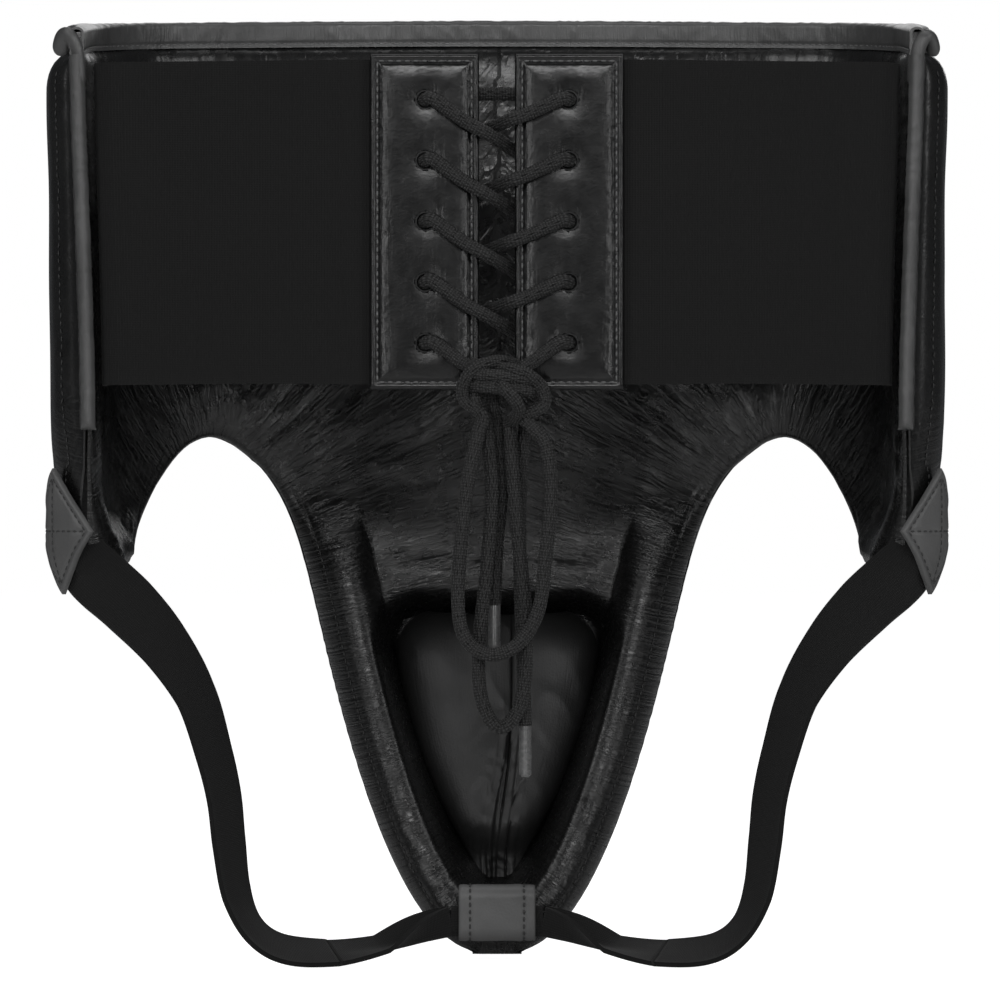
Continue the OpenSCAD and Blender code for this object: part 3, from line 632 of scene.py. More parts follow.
def fullness(u, z, e):
    topRound = padRound - 9 * smooth(wingU - 60, wingU - 15, np.abs(u))
    return (rounded(e / padRound)
            * rounded(np.maximum(0, highZ(u) - z - boundW) / topRound)
            * rounded(np.maximum(0, wingU - np.abs(u) - boundW) / padRound))


lining = {"archFolds": 1.4, "rollFolds": 0.16, "tipFolds": 1.7, "topFolds": 0.4, "seamIn": 5.6,
          "rollHalf": 13.5, "hollowTop": 148.0, "hollowIn": 17.5, "corner": 27.0, "wall": 12.0,
          "lip": 2.2, "edgeRound": 0.7, "seamDeep": 0.6, "sag": 0.5}


def liningLevel(u, z, plain=False):
    e, s = nearEdge(u, z)
    full = fullness(u, z, e)
    inCup = (np.abs(u) < joinW) * 1.0
    level = -pad["belly"] * full
    across = np.clip(e / lining["rollHalf"] - 1, -1, 1)
    roll = (1 - across ** 2) ** 0.7 * (1 - smooth(joinZ - 50, joinZ - 6, z))
    level = level - pad["rollH"] * roll
    top = lining["hollowTop"] - 3 * np.cos(np.clip(u / 45, -1.6, 1.6))
    fromSide = e - lining["hollowIn"]
    fromTop = top + 3 - z
    corner = lining["corner"]
    inside = corner - np.hypot(np.maximum(corner - fromSide, 0), np.maximum(corner - fromTop, 0))
    inside = np.where((fromSide > corner) & (fromTop > corner), corner, inside)
    deep = smooth(0, lining["wall"], inside) * inCup
    lip = lining["lip"] * hump(z, top + 9, 7) * smooth(24, 36, e) * inCup * (z < joinZ)
    level = level + (pad["hollow"] + pad["belly"]) * deep - lip
    if plain:
        return level, e, s
    level = level + lining["edgeRound"] * (1 - rounded(e / 1.8))
    level = level + lining["seamDeep"] * hump(e, lining["seamIn"], 0.9) * (1 - smooth(175, 200, z))
    calm = hump(u, 5, 52) * hump(z, 172, 21)  # the flat place above the hollow
    arch = smooth(120, 185, z) * (1 - 0.96 * calm) * smooth(1, 8, e) * (1 - 0.5 * smooth(60, 110, e))
    fold = 0.6 * creases(s / 6.5, e / 42, 3) + 0.4 * creases(s / 3.6, e / 30, 11)
    level = level - lining["archFolds"] * arch * (fold - 0.4)
    onRoll = roll * (1 - deep)
    level = level - lining["rollFolds"] * onRoll * (creases(s / 3.4, e / 14, 5) - 0.4)
    atTop = hump(highZ(u) - z, 12, 12) * (np.abs(u) < wingU - 6)
    level = level - lining["topFolds"] * atTop * (creases(u / 2.6, z / 26, 13) - 0.4)
    atTip = (1 - smooth(30, 75, z)) * smooth(2, 8, e) * (1 - deep)
    level = level - lining["tipFolds"] * atTip * (creases(s / 6, e / 18, 9) - 0.35)
    level = level - lining["sag"] * (softNoise(u / 26, z / 26, 21) - 0.5) * full
    return level, e, s


cover = {"seamDeep": 2.4, "seamWide": 3.4, "wingSeam": 14.5, "folds": 0.5, "patchDent": 3.0,
         "stripFolds": 0.55, "lowFolds": 0.35, "sag": 0.9, "edgeThin": 0.42, "wingSeamShare": 0.35}


def coverLevel(u, z, plain=False):
    e, s = nearEdge(u, z)
    full = fullness(u, z, e)
    a = np.abs(u)
    cup = (1 - smooth(joinZ - 30, joinZ + 30, z)) * (1 - smooth(joinW - 12, joinW + 12, a))
    waistT = mix(pad["frontT"], pad["hipT"], smooth(70, 190, a))
    bulge = pad["cupBulge"] * hump(z, joinZ / 2, 55) * hump(u, 0, 40)
    nearWing = smooth(wingU - 2 * boundW, wingU - boundW, a)
    boundT = mix(pad["boundT"], wing["edgeT"], nearWing)
    edgeT = mix(seamT, boundT, np.maximum(np.clip(e / 12, 0, 1), nearWing))
    pulled = cover["patchDent"] * hump(z, 178, 24) * smooth(wingU - 75, wingU - 40, a)
    level = mix(edgeT, mix(waistT, pad["cupT"], cup) + bulge - pulled, full)
    if plain:
        return level, e, s
    thin = 1 - cover["edgeThin"] * (1 - rounded(e / 2.2)) * (1 - nearWing)
    level = level * thin
    hipSeam = hump(a, joinW, cover["seamWide"]) * smooth(joinZ - 4, joinZ + 4, z)
    cupSeam = hump(z, joinZ, cover["seamWide"]) * (1 - smooth(joinW - 2, joinW + 6, a))
    wingSeam = cover["wingSeamShare"] * hump(wingU - a, cover["wingSeam"], 1.1)
    seams = np.maximum(np.maximum(hipSeam, cupSeam), wingSeam)
    level = level - cover["seamDeep"] * seams * smooth(0, 14, e)
    pucker = (hump(a, joinW, 13) * smooth(joinZ - 4, joinZ + 8, z)
              + hump(z, joinZ, 13) * (1 - smooth(joinW - 6, joinW, a)))
    level = level + cover["folds"] * pucker * (creases((z + a) / 5.5, (z - a) / 16, 31) - 0.4)
    strip = smooth(boundW - 1, boundW + 2, wingU - a) * (1 - smooth(16, 24, wingU - a))
    level = level + cover["stripFolds"] * strip * (creases(z / 3.4, (wingU - a) / 7, 41) - 0.4)
    low = (1 - smooth(10, 34, e)) * smooth(1, 6, e)
    level = level + cover["lowFolds"] * low * (creases(s / 6, e / 26, 43) - 0.4)
    level = level + cover["sag"] * (softNoise(u / 34, z / 34, 45) - 0.5) * full
    return level, e, s


def gridEase(t, dense):
    return mix(t, (1 - np.cos(math.pi * t)) / 2, dense)


def padSheet(name, cells, low, high, part, wanted=None):
    # one layer of the pad over the cells that part picks: cells is hip, cup, lower and belt counts
    hipCols, cupCols, cupRows, beltRows = cells
    cols = cupCols + 2 * hipCols
    rows = cupRows + beltRows

    def chart(a, b):
        i = a * cols
        j = b * rows
        inCup = (i > hipCols - 0.5) & (i < hipCols + cupCols + 0.5)
        c = 2 * gridEase(np.clip((i - hipCols) / cupCols, 0, 1), 0.6) - 1
        h = gridEase(np.clip(np.where(i < hipCols, hipCols - i, i - hipCols - cupCols) / hipCols, 0, 1), 0.6)
        zCup = joinZ * np.clip(j / cupRows, 0, 1) ** 1.15
        half = np.where(j < cupRows - 0.5, cupWidth(zCup), joinW)
        u = np.where(inCup, c * half, np.where(i < hipCols, -1, 1) * (joinW + hipLen * h))
        k = gridEase(np.clip((j - cupRows) / beltRows, 0, 1), 0.5)
        belt = mix(np.where(inCup, joinZ, lowZ(h)), highZ(u), k)
        return u, np.where(j < cupRows + 0.5, np.where(inCup, zCup, belt), belt)

    def keep(a, b):
        i = a * cols
        j = b * rows
        mid = (i > hipCols) & (i < hipCols + cupCols)
        belt = j > cupRows
        has = {"whole": mid | belt, "cup": mid & ~belt, "waist": mid & belt,
               "left": belt & (i < hipCols), "right": belt & (i > hipCols + cupCols)}[part]
        if wanted is not None:
            u, z = chart(a, b)
            has = has & wanted(u, z, nearEdge(u, z)[0])
        return has

    def place(a, b, k):
        u, z = chart(a, b)
        return padPlace(u, z, np.where(k < 0.5, low(u, z), high(u, z)))

    def uv(a, b, k):
        u, z = chart(a, b)
        e, s = nearEdge(u, z)
        return {"edge": np.stack([s, e], -1) * mm}

    return gridSheet(name, cols, rows, place, keep, uv)


# Lining, pouch of the hollow, covers, foams and the rigid cup

skin = pad["leather"]
bodyLining = padSheet("bodyLining", (64, 150, 118, 84),
                      lambda u, z: liningLevel(u, z)[0],
                      lambda u, z: liningLevel(u, z, True)[0] + skin + 0.3, "whole")
dress(bodyLining, liningLeather, "root", ["body_lining"])
print("lining made")

coverCells = (70, 96, 84, 72)
covers = [  # name, part, node
    ("waistCover", "waist", "waist_panel"),
    ("cupCover", "cup", "cup_panel"),
    ("hipCoverLeft", "left", "hip_panel_left"),
    ("hipCoverRight", "right", "hip_panel_right"),
]


def coverInside(u, z):
    return coverLevel(u, z, True)[0] * 0.5 + (coverLevel(u, z)[0] - skin) * 0.5


for name, part, node in covers:
    piece = padSheet(name, coverCells, coverInside, lambda u, z: coverLevel(u, z)[0], part)
    dress(piece, coverLeather, "root", [node])
print("covers made")


# Pouch of soft leather in the hollow, gathered to a seam down its middle

pouch = {"lowZ": 29.0, "topZ": 139.0, "width": 42.0, "bulge": 14.0, "edge": 17.0, "seamX": 6.0,
         "seamFolds": 2.4, "lowFolds": 1.3, "sag": 1.6, "tallFolds": 0.8, "edgeRise": 0.9, "behind": 0.25}


def pouchHalf(z):
    t = np.clip((z - pouch["lowZ"] + 3) / (pouch["topZ"] - pouch["lowZ"]), 0, 1)
    half = 3 + (pouch["width"] - 3) * np.sin(math.pi / 2 * t ** 0.9)
    return half * (0.58 + 0.42 * rounded((pouch["topZ"] - z) / 20))


def pouchSeam(z):
    return pouch["seamX"] * smooth(35, 100, z)


def pouchPlace(side):
    def place(a, b, k):
        z = mix(pouch["lowZ"], pouch["topZ"] - 2.2 * np.cos(a * 1.3), gridEase(b, 0.6))
        reach = pouchHalf(z) - side * pouchSeam(z)
        inward = gridEase(a, 0.5) * reach
        u = pouchSeam(z) + side * inward
        edge = pouch["edge"]
        rim = rounded((reach - inward) * 0.9 / edge) * rounded((pouch["topZ"] - z) * 0.9 / edge)
        lift = pouch["bulge"] * rim ** 0.85 * (0.78 + 0.22 * rounded(inward / 12))
        lift = lift * smooth(pouch["lowZ"], pouch["lowZ"] + 24, z) + pouch["edgeRise"]
        low = 1 - smooth(80, 112, z)
        gather = hump(inward, 0, 5.5) * low
        lift = lift + pouch["seamFolds"] * gather * creases(inward / 1.9 + 3, z / 26, 51 + int(side))
        across = creases(z / 6 + inward / 9, inward / 12, 57) - 0.4
        lift = lift + pouch["lowFolds"] * low * hump(inward, 6, 9) * across
        lift = lift + pouch["sag"] * (softNoise(u / 20 + 9, z / 26, 61) - 0.5) * rim
        tall = creases((u + 0.7 * z) / 11, (z - u) / 34, 67) - 0.4
        lift = lift + pouch["tallFolds"] * rim * tall * smooth(70, 110, z)
        level = np.where(k < 0.5, pad["hollow"] - lift, pad["hollow"] - pouch["behind"])
        return padPlace(u, z, level)
    return place


def stripMap(a, b, k):
    return {"edge": np.stack([a * 0.12, b * 0.12], -1)}


for side, sideName in ((-1, "Left"), (1, "Right")):
    piece = gridSheet("pouch" + sideName, 46, 110, pouchPlace(side), uv=stripMap)
    # The pouch's finish carries painted light: its lighter base colour stands in for light in the shaded
    # hollow
    dress(piece, pouchLeatherPaintedLight, "root", ["cup_lining_" + sideName.lower()])


# What the pad holds inside: foams, the padded roll and the rigid cup

core = {"shell": 28.4, "wall": 3.0, "play": 0.4, "slack": 1.2, "edgeIn": 8.0, "foamIn": 13.0,
        "cupIn": 11.0, "below": 24.0}
coreCells = (34, 48, 44, 34)
within = skin + core["play"]


def foamLow(u, z):
    return liningLevel(u, z, True)[0] + within + 0.3


def foamHigh(u, z):
    return np.maximum(coverLevel(u, z, True)[0] - within - core["slack"], foamLow(u, z) + 0.4)


def overShell(u, z):
    return u * 0 + core["shell"] + core["wall"] + core["play"]


def inBindings(u, z, e):
    # clear of the edge seam and of the bound edges
    return (e > core["edgeIn"]) & (z < highZ(u) - boundW) & (np.abs(u) < wingU - boundW)


foams = [  # name, node, part, low face, high face, which cells
    ("waistFoam", "waist_foam", "waist", foamLow, foamHigh, inBindings),
    ("hipFoamLeft", "hip_foam_left", "left", foamLow, foamHigh, inBindings),
    ("hipFoamRight", "hip_foam_right", "right", foamLow, foamHigh, inBindings),
    ("cupFoam", "cup_foam", "cup", overShell,
     lambda u, z: np.maximum(coverLevel(u, z, True)[0] - within - core["slack"], overShell(u, z) + 0.4),
     lambda u, z, e: (e > core["foamIn"]) & (z < joinZ - core["below"])),
    ("rimRoll", "rim_roll", "cup", foamLow,
     lambda u, z: np.minimum(foamHigh(u, z), core["shell"] - core["play"]),
     lambda u, z, e: (e > core["edgeIn"]) & (e < 2 * core["edgeIn"]) & (z < joinZ - 4)),
]
for name, node, part, low, high, wanted in foams:
    piece = padSheet(name, coreCells, low, high, part, wanted)
    dress(piece, foamFinish, "root", [node])
piece = padSheet("rigidCup", coreCells,
                 lambda u, z: u * 0 + core["shell"] + 0.8 * hump(z, 100, 60),
                 lambda u, z: u * 0 + core["shell"] + core["wall"], "cup",
                 lambda u, z, e: (e > core["cupIn"]) & (z < joinZ - core["below"]))
dress(piece, cupPlastic, "root", ["rigid_cup"])
print("pouch and cores made")


# Bindings folded over the top edge and the wings' rear edges

binding = {"gap": 0.15, "thick": 1.0, "cap": 0.9, "ripple": 0.3, "stitchAt": 0.055, "nick": 0.35}


def boundThick(u):
    return mix(pad["boundT"], wing["edgeT"], smooth(wingU - 2 * boundW, wingU - boundW, np.abs(u)))


def bindingFold(b, off, thick):
    # level and depth round the folded strip, off away from what it binds
    leg = np.clip(np.where(b < 0.5, 0.32 - b, b - 0.68) / 0.32, 0, 1) * pad["bindingW"]
    angle = np.clip((b - 0.32) / 0.36, 0, 1) * math.pi
    return thick / 2 - (thick / 2 + off) * np.cos(angle), leg - (off + binding["cap"]) * np.sin(angle)


def bindingOff(k, along, b, seed):
    fold = binding["ripple"] * (creases(along / 4.2, b * 2.5, seed) - 0.4) * k
    nick = binding["nick"] * hump(np.where(b < 0.5, b, 1 - b), binding["stitchAt"], 0.02) * k
    return mix(binding["gap"], binding["gap"] + binding["thick"], k) + fold - nick


def topBindingPlace(a, b, k):
    u = mix(-wingU, wingU, a)
    level, depth = bindingFold(b, bindingOff(k, u, b, 71), boundThick(u))
    return padPlace(u, highZ(u) - depth, level)


def wingBindingPlace(side):
    x, y, nx, ny = [float(v[0]) for v in hipAt(np.array([1.0]))]
    px, py, _, _ = [float(v[0]) for v in hipAt(np.array([0.95]))]
    size = math.hypot(px - x, py - y)
    ix = (px - x) / size
    iy = (py - y) / size

    def place(a, b, k):
        z = mix(pad["wingLowZ"] - 1.5, float(highZ(wingU)) - 9, a)
        off = bindingOff(k, z, b, 73) + 0.25 * k * np.cos((b - 0.5) * 26) * hump(b, 0.5, 0.14)
        level, depth = bindingFold(b, off, wing["edgeT"] + 0 * b)
        atEnd = 1 - rounded(a / 0.025)
        level = level + atEnd * (0.4 - k) * 0.8
        depth = mix(depth, 0.55 * depth + 2.5, atEnd)
        lean = wingLean(1.0 + 0 * z, z)
        return np.stack([side * (x + lean + nx * level + ix * depth) * mm, (y + ny * level + iy * depth) * mm,
                         z * mm + tipZ], -1)
    return place


def bindingMap(a, b, k):
    return {"edge": np.stack([a * 0.7, b * 0.03], -1)}


piece = gridSheet("topBinding", 420, 34, topBindingPlace, uv=bindingMap)
dress(piece, bindingLeather, "root", ["top_binding"])

cornerTab = [(164.2, -60.6, 347), (164.8, -60.8, 356), (165.6, -61.0, 362.5), (168.0, -60.8, 367.2),
             (170.2, -59.2, 367.4), (171.6, -57.2, 364.4), (172.0, -55.0, 360.0)]
for side, sideName in ((-1, "Left"), (1, "Right")):
    piece = gridSheet("wingBinding" + sideName, 190, 40, wingBindingPlace(side), uv=bindingMap)
    dress(piece, bindingLeather, "root", ["wing_binding_" + sideName.lower()])
    route = throughPoints([(side * x * mm, y * mm, z * mm + tipZ) for x, y, z in cornerTab], 0.6 * mm)
    whole = lengthOf(route)

    def tabSize(far, angle):
        end = np.minimum(rounded((whole - far) / (4 * mm)), rounded(far / (5 * mm))) * 0.94 + 0.06
        return 2.6 * mm * end, 3.6 * mm * end
    tab = sweepTube("cornerTab" + sideName, route, tabSize, 24)
    tab.data.uv_layers["along"].name = "edge"
    dress(tab, bindingLeather, "root")
print("bindings made")


# Laced back: elastic bands, lacing panels, their backings

panelLow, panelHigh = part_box("lacing_panel_right")
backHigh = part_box("panel_backing_right")[1]
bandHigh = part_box("elastic_right")[1]
panelX = (panelLow.x / mm, panelHigh.x / mm)
panelHalf = panelHigh.z / mm
bandHalf = bandHigh.z / mm
panelBack = panelHigh.y / mm
panelFront = panelLow.y / mm
bandMid = panelBack + 1.1
elastic = {"thick": 1.5, "rib": 1.06, "ribDeep": 0.13, "tuck": 9.0, "bow": 14.0}
lacing = {"count": 5, "pitch": 23.7, "x": 28.0, "holeR": 3.9, "stitchIn": 2.9, "puff": 1.0,
          "edgeRound": 0.7, "groove": 0.5, "puckers": 0.16, "waves": 0.6}
eyeletZ = [(2 - k) * lacing["pitch"] for k in range(lacing["count"])]

span = np.linspace(0, 1, 60)
bandPlan = np.vstack([  # the band's plan, from inside the panel to where it turns in behind the wing
    [[panelX[1] - elastic["tuck"], bandMid]],
    np.stack([mix(panelX[1], 148.7, span), bandMid + elastic["bow"] * span ** 2], -1),
    [[151.4, -62.2], [153.2, -60.2], [154.3, -57.5], [154.8, -54], [154.8, -48]]])
planFar = np.concatenate([[0], np.cumsum(np.hypot(*np.diff(bandPlan, axis=0).T))])


def elasticPlace(side):
    def place(a, b, k):
        s = a * planFar[-1]
        x = np.interp(s, planFar, bandPlan[:, 0])
        y = np.interp(s, planFar, bandPlan[:, 1])
        dx, dy = (np.interp(s + 1.5, planFar, bandPlan[:, i]) - np.interp(s - 1.5, planFar, bandPlan[:, i])
                  for i in range(2))
        size = np.hypot(dx, dy)
        hem = rounded((bandHalf - np.abs(b - 0.5) * 2 * bandHalf) / 2.6)
        rib = elastic["ribDeep"] * np.cos(2 * math.pi * s / elastic["rib"]) * hem
        loose = 0.9 * (softNoise(s / 34, b * 5, 81 + side) - 0.5)
        loose = loose * smooth(10, 30, s) * (1 - smooth(98, 110, s))
        out = (k - 0.5) * elastic["thick"] + (2 * k - 1) * (rib + 0.12 * (1 - hem)) + loose
        free = hump(a, 0.45, 0.3)
        z = (b - 0.5) * 2 * bandHalf * (1 - 0.006 * free)
        x = x + smooth(90, 115, s) * wingLean(1.0 + 0 * z, z - tipZ / mm) * 0.8
        return np.stack([side * (x + out * dy / size), y - out * dx / size, z], -1) * mm
    return place


def clothMap(wide, tall):
    def uv(a, b, k):
        return {"cloth": np.stack([a * wide, b * tall], -1) * mm}
    return uv


def panelEdge(x, z):
    return np.minimum(np.minimum(x - panelX[0], panelX[1] - x), panelHalf - np.abs(z))


def panelFace(x, z):
    # how far the leather's front stands out from its flat place
    d = panelEdge(x, z)
    eyelet = np.min([np.hypot(x - lacing["x"], z - e) for e in eyeletZ], axis=0)
    body = lacing["puff"] * rounded((d - 3.3) / 8) * (1 - 0.6 * hump(eyelet, 0, 5.5))
    fold = -lacing["edgeRound"] * (1 - rounded(d / 1.1))
    groove = -lacing["groove"] * hump(d, lacing["stitchIn"], 0.75)
    puckers = lacing["puckers"] * hump(d, 4.6, 2.2) * (creases((x + z) / 2.6, (x - z) / 5, 91) - 0.4)
    waves = lacing["waves"] * (softNoise(x / 19, z / 30, 93) - 0.5) * smooth(3, 12, d) * smooth(4, 9, eyelet)
    return body + fold + groove + puckers + waves


def panelPlace(side):
    def place(a, b, k):
        x = mix(*panelX, gridEase(a, 0.35))
        z = mix(-panelHalf, panelHalf, gridEase(b, 0.2))
        y = np.where(k < 0.5, panelBack - 0.05, panelFront - panelFace(x, z))
        return np.stack([side * x, y, z], -1) * mm
    return place


def backingPlace(side):
    def place(a, b, k):
        x = mix(*panelX, gridEase(a, 0.35))
        z = mix(-panelHalf, panelHalf, gridEase(b, 0.2))
        d = panelEdge(x, z)
        over = np.where(x > panelX[1] - elastic["tuck"] - 1, bandMid + 1.1, panelBack + 0.05)
        inner = backHigh.y / mm - 0.5 * (1 - rounded(d / 1.1)) - 0.3 * hump(d, lacing["stitchIn"], 0.75)
        return np.stack([side * x, np.where(k < 0.5, inner, over), z], -1) * mm
    return place


def noEyelets(a, b):
    x = mix(*panelX, gridEase(a, 0.35))
    z = mix(-panelHalf, panelHalf, gridEase(b, 0.2))
    return np.min([np.hypot(x - lacing["x"], z - e) for e in eyeletZ], axis=0) > lacing["holeR"]


def panelMap(a, b, k):
    return {"edge": np.stack([a * 0.0425, b * 0.131], -1)}  # about the panel's size in metres


for side, sideName in ((-1, "Left"), (1, "Right")):
    lower = sideName.lower()
    rear = "rear_" + lower
    piece = gridSheet("elastic" + sideName, 430, 34, elasticPlace(side),
                      uv=clothMap(planFar[-1], 2 * bandHalf))
    dress(piece, elasticWeave, None, ["elastic_" + lower])
    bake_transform(piece)
    piece = gridSheet("lacingPanel" + sideName, 64, 170, panelPlace(side), noEyelets, panelMap)
    dress(piece, panelLeather, rear, ["lacing_panel_" + lower])
    piece = gridSheet("panelBacking" + sideName, 40, 100, backingPlace(side), noEyelets, panelMap)
    dress(piece, liningLeather, rear, ["panel_backing_" + lower])
    for node in ("eyelets_", "eyelet_washers_"):
        dress(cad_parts[node + lower], eyeletEnamel)
print("laced back made")


# Lace: a braided cord through the eyelets, split at the middle so that each half follows its panel

lace = {"d": 5.4, "strands": 8, "pitch": 5.6, "deep": 0.13, "sides": 36, "step": 0.5,
        "outY": -85.0, "inY": -72.8, "holeY": -78.7, "edgeX": 5.5, "overFall": 1.3, "underFall": 0.83,
        "lastHoleX": 26.0}
knotAt = np.array([0.0, -89.9, -65.5])


def braidSize(far, angle):
    n = lace["strands"]
    turn = 2 * math.pi * far / (lace["pitch"] * mm)
    over = np.maximum(np.cos(n * angle + turn), np.cos(n * angle - turn))
    return lace["d"] / 2 * mm * (1 - lace["deep"] + lace["deep"] * over)


def throughEyelet(side, z, outwards):
    # the lace turns through the hole
    x = lacing["x"]
    points = [(x - 3.6, lace["inY"], z), (x - 0.5, lace["inY"] + 2.3, z), (x, lace["holeY"], z),
              (x - 0.4, lace["outY"] + 2.0, z), (x - 3.4, lace["outY"], z)]
    points = [(side * px, py, pz) for px, py, pz in points]
    return points if outwards else points[::-1]


def laceRoute(side):
    points = [(0, lace["inY"], eyeletZ[0] + 3), (side * 12, lace["inY"], eyeletZ[0] + 2.6)]
    at = side
    for k, z in enumerate(eyeletZ):
        points += throughEyelet(at, z, True)
        if k == len(eyeletZ) - 1:
            break
        over = at < 0
        fall = (lace["overFall"] if over else lace["underFall"]) / 2 / lacing["x"]
        drop = eyeletZ[k + 1] - z
        middle = (lace["outY"] + lace["inY"]) / 2 + (-2.5 if over else 1.2)
        for x, y in ((-lace["edgeX"] - 7, lace["outY"]), (-lace["edgeX"], lace["outY"] + 0.2), (0, middle),
                     (lace["edgeX"], lace["inY"] - 0.2), (lace["edgeX"] + 8, lace["inY"])):
            points.append((-at * x, y, z + drop * min(fall * (x + lacing["x"]), 0.97)))
        at = -at
    points += [(at * 19.5, lace["outY"] - 0.6, eyeletZ[-1] - 3.4), (at * 14, -87.4, eyeletZ[-1] - 7.4),
               (at * 9, -89.4, eyeletZ[-1] - 10.6), (at * 4, -90, eyeletZ[-1] - 13.4)]
    return np.array(points) * mm


halves = {"Left": [], "Right": []}
ends = {}
for side in (-1, 1):
    route = throughPoints(laceRoute(side), lace["step"] * mm)
    turned = framesAlong(route)
    far = runningLength(route)
    crossed = [i for i in range(2, len(route) - 1) if route[i - 1, 0] * route[i, 0] < 0]
    last = max(i for i in range(len(route)) if abs(route[i, 0]) > lace["lastHoleX"] * mm)
    cuts = [0] + [i for i in crossed if i < last] + [last, len(route) - 1]
    for start, stop in zip(cuts[:-1], cuts[1:]):
        span = slice(start, stop + 1)
        sideName = "Left" if route[(start + stop) // 2, 0] < 0 else "Right"
        tube = sweepTube("laceSpan", route[span], braidSize, lace["sides"],
                         tuple(f[span] for f in turned), far[start])
        if start == last:
            ends[sideName] = tube
        else:
            halves[sideName].append(tube)
for side, sideName in ((-1, "Left"), (1, "Right")):
    rear = "rear_" + sideName.lower()
    piece = joined("lace" + sideName, halves[sideName])
    dress(piece, laceBraid, None, ["lace_run_" + sideName.lower()])
    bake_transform(piece)
    piece = ends[sideName]
    piece.name = "laceEnd" + sideName
    dress(piece, laceBraid, None)
    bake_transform(piece)


# Knot of the bow, and the bow's free cords

def coil(turns, wide, deep, fromZ, toZ, middle, phase):
    # strands wound round the knot
    t = np.linspace(0, 1, int(12 * turns))
    angle = phase + t * turns * 2 * math.pi
    x = middle + wide * np.cos(angle)
    return np.stack([x, -2.6 - deep * np.sin(angle), mix(fromZ, toZ, t) - 0.16 * (x - middle)], -1).tolist()


def runsInto(route, span=6.0):
    # the last points of a strand that goes on into one of the free cords
    p, q = np.array(route[:2], float)
    way = (q - p) / np.linalg.norm(q - p)
    return [(p - way * span).tolist(), p.tolist(), (p + way * 1.6).tolist()]


bowRoutes = {
    "bow_loop_upper": [
        (-7, -5, -16), (-11, -6, -35), (-14, -6, -60), (-15, -6, -84), (-12, -6, -97), (-3, -6, -103),
        (8, -6, -99), (16, -6, -86), (19, -6, -64), (21, -6, -40), (19, -6, -22), (13, -5, -14)],
    "bow_loop_lower": [
        (-4, 1, -16), (-2, 0, -40), (-4, 0, -70), (-7, 0, -100), (-6, 0, -120), (0, 0, -131),
        (7, 0, -127), (11, 0, -112), (11, 0, -85), (8, 0, -55), (6, 0, -30), (5, 1, -16)],
    "lace_tail_long": [(11, 6, -14), (9, 6, -40), (9, 6, -70), (10, 6, -100), (11, 6, -131)],
    "lace_tail_short": [(0, 6, -16), (2, 6, -36), (0, 6, -60), (-1, 6, -84)],
}
upper = bowRoutes["bow_loop_upper"]
lower = bowRoutes["bow_loop_lower"]
wraps = [
    coil(2.2, 11.5, 5.2, 8.0, -1.5, 2.5, math.pi * 0.9),
    [(8, 2, 9), (1, -3.4, 10.6), (-7, -5.4, 8.6), (-12.4, -4.4, 3), (-12.6, -3.4, -4)] + runsInto(upper),
    [(-5, 2, 8), (4, -6.0, 7.6), (12, -6.6, 5.4), (17.4, -4.6, 0), (18, -3.8, -6)]
    + runsInto(upper[::-1], 4.0),
    [(0, -6.4, 3), (4, -10.4, -1), (8.4, -9.4, -7), (7, -4.4, -11.4)] + runsInto(lower[::-1], 3.0),
    [(-8, 1, 2), (-8.4, -3.0, -4), (-6, -2.4, -10)] + runsInto(lower, 4.0),
    [(4, 2, 3), (8, 3, -5)] + runsInto(bowRoutes["lace_tail_long"], 5.0),
    [(-2, 2, 2), (-1.4, 3, -7)] + runsInto(bowRoutes["lace_tail_short"], 5.0),
]
strands = []
for route in wraps:
    path = throughPoints((np.array(route) + knotAt) * mm, lace["step"] * mm)
    strands.append(sweepTube("wrap", path, braidSize, lace["sides"]))
knot = joined("knotWraps", strands)
dress(knot, laceBraid, "root", ["lace_knot"])

cords = [  # name, node, what its far end is, pieces on it
    ("bowLoopUpper", "bow_loop_upper", "object", None),
    ("bowLoopLower", "bow_loop_lower", "object", None),
    ("laceTailLong", "lace_tail_long", "fitting", "aglet_long"),
    ("laceTailShort", "lace_tail_short", "fitting", "aglet_short"),
]
for name, node, farEnd, aglet in cords:
    path = throughPoints((np.array(bowRoutes[node]) + knotAt) * mm, lace["step"] * mm)
    piece = sweepTube(name, path, braidSize, lace["sides"])
    dress(piece, laceBraid, "bow", [node])
    if aglet:
        dress(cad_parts[aglet], agletPlastic)
print("lace and bow made")


# Patch that holds each leg strap, wrapped round the hip's rear corner

patch = {"z": 172.5, "half": 25.0, "gap": 0.4, "thick": 1.7, "tuck": 4.0, "rearShare": 0.78,
         "dimple": 0.7, "step": 0.25, "stitchIn": 3.9, "crossIn": 4.5}
patchPlan = [(177.4, -6), (177.6, -16), (177.4, -27), (176.8, -36.5), (174.4, -44.3), (167.2, -50.5),
             (157.2, -56.5)]
patchCurve = throughPoints([(x, y, 0) for x, y in patchPlan], patch["step"])[:, :2]
patchTurn = np.gradient(patchCurve, axis=0)
patchTurn /= np.linalg.norm(patchTurn, axis=1)[:, None]
patchMiddle = patch["step"] * np.linalg.norm(patchCurve - np.array(patchPlan[4]), axis=1).argmin()


def patchSpot(side, across, up, out):
    # on the curved face of the patch: across from its middle, up, and out from the pad
    across = np.where(across > 0, across * patch["rearShare"], across)
    at = np.clip((patchMiddle + across) / patch["step"], 0, len(patchCurve) - 1)
    ticks = np.arange(len(patchCurve))
    x, y = (np.interp(at, ticks, patchCurve[:, i]) for i in range(2))
    tx, ty = (np.interp(at, ticks, patchTurn[:, i]) for i in range(2))
    tuck = patch["tuck"] * smooth(4, 26, -up)
    return np.stack([side * (x - ty * out - tuck) * mm, (y + tx * out) * mm,
                     (patch["z"] + up) * mm + tipZ], -1)


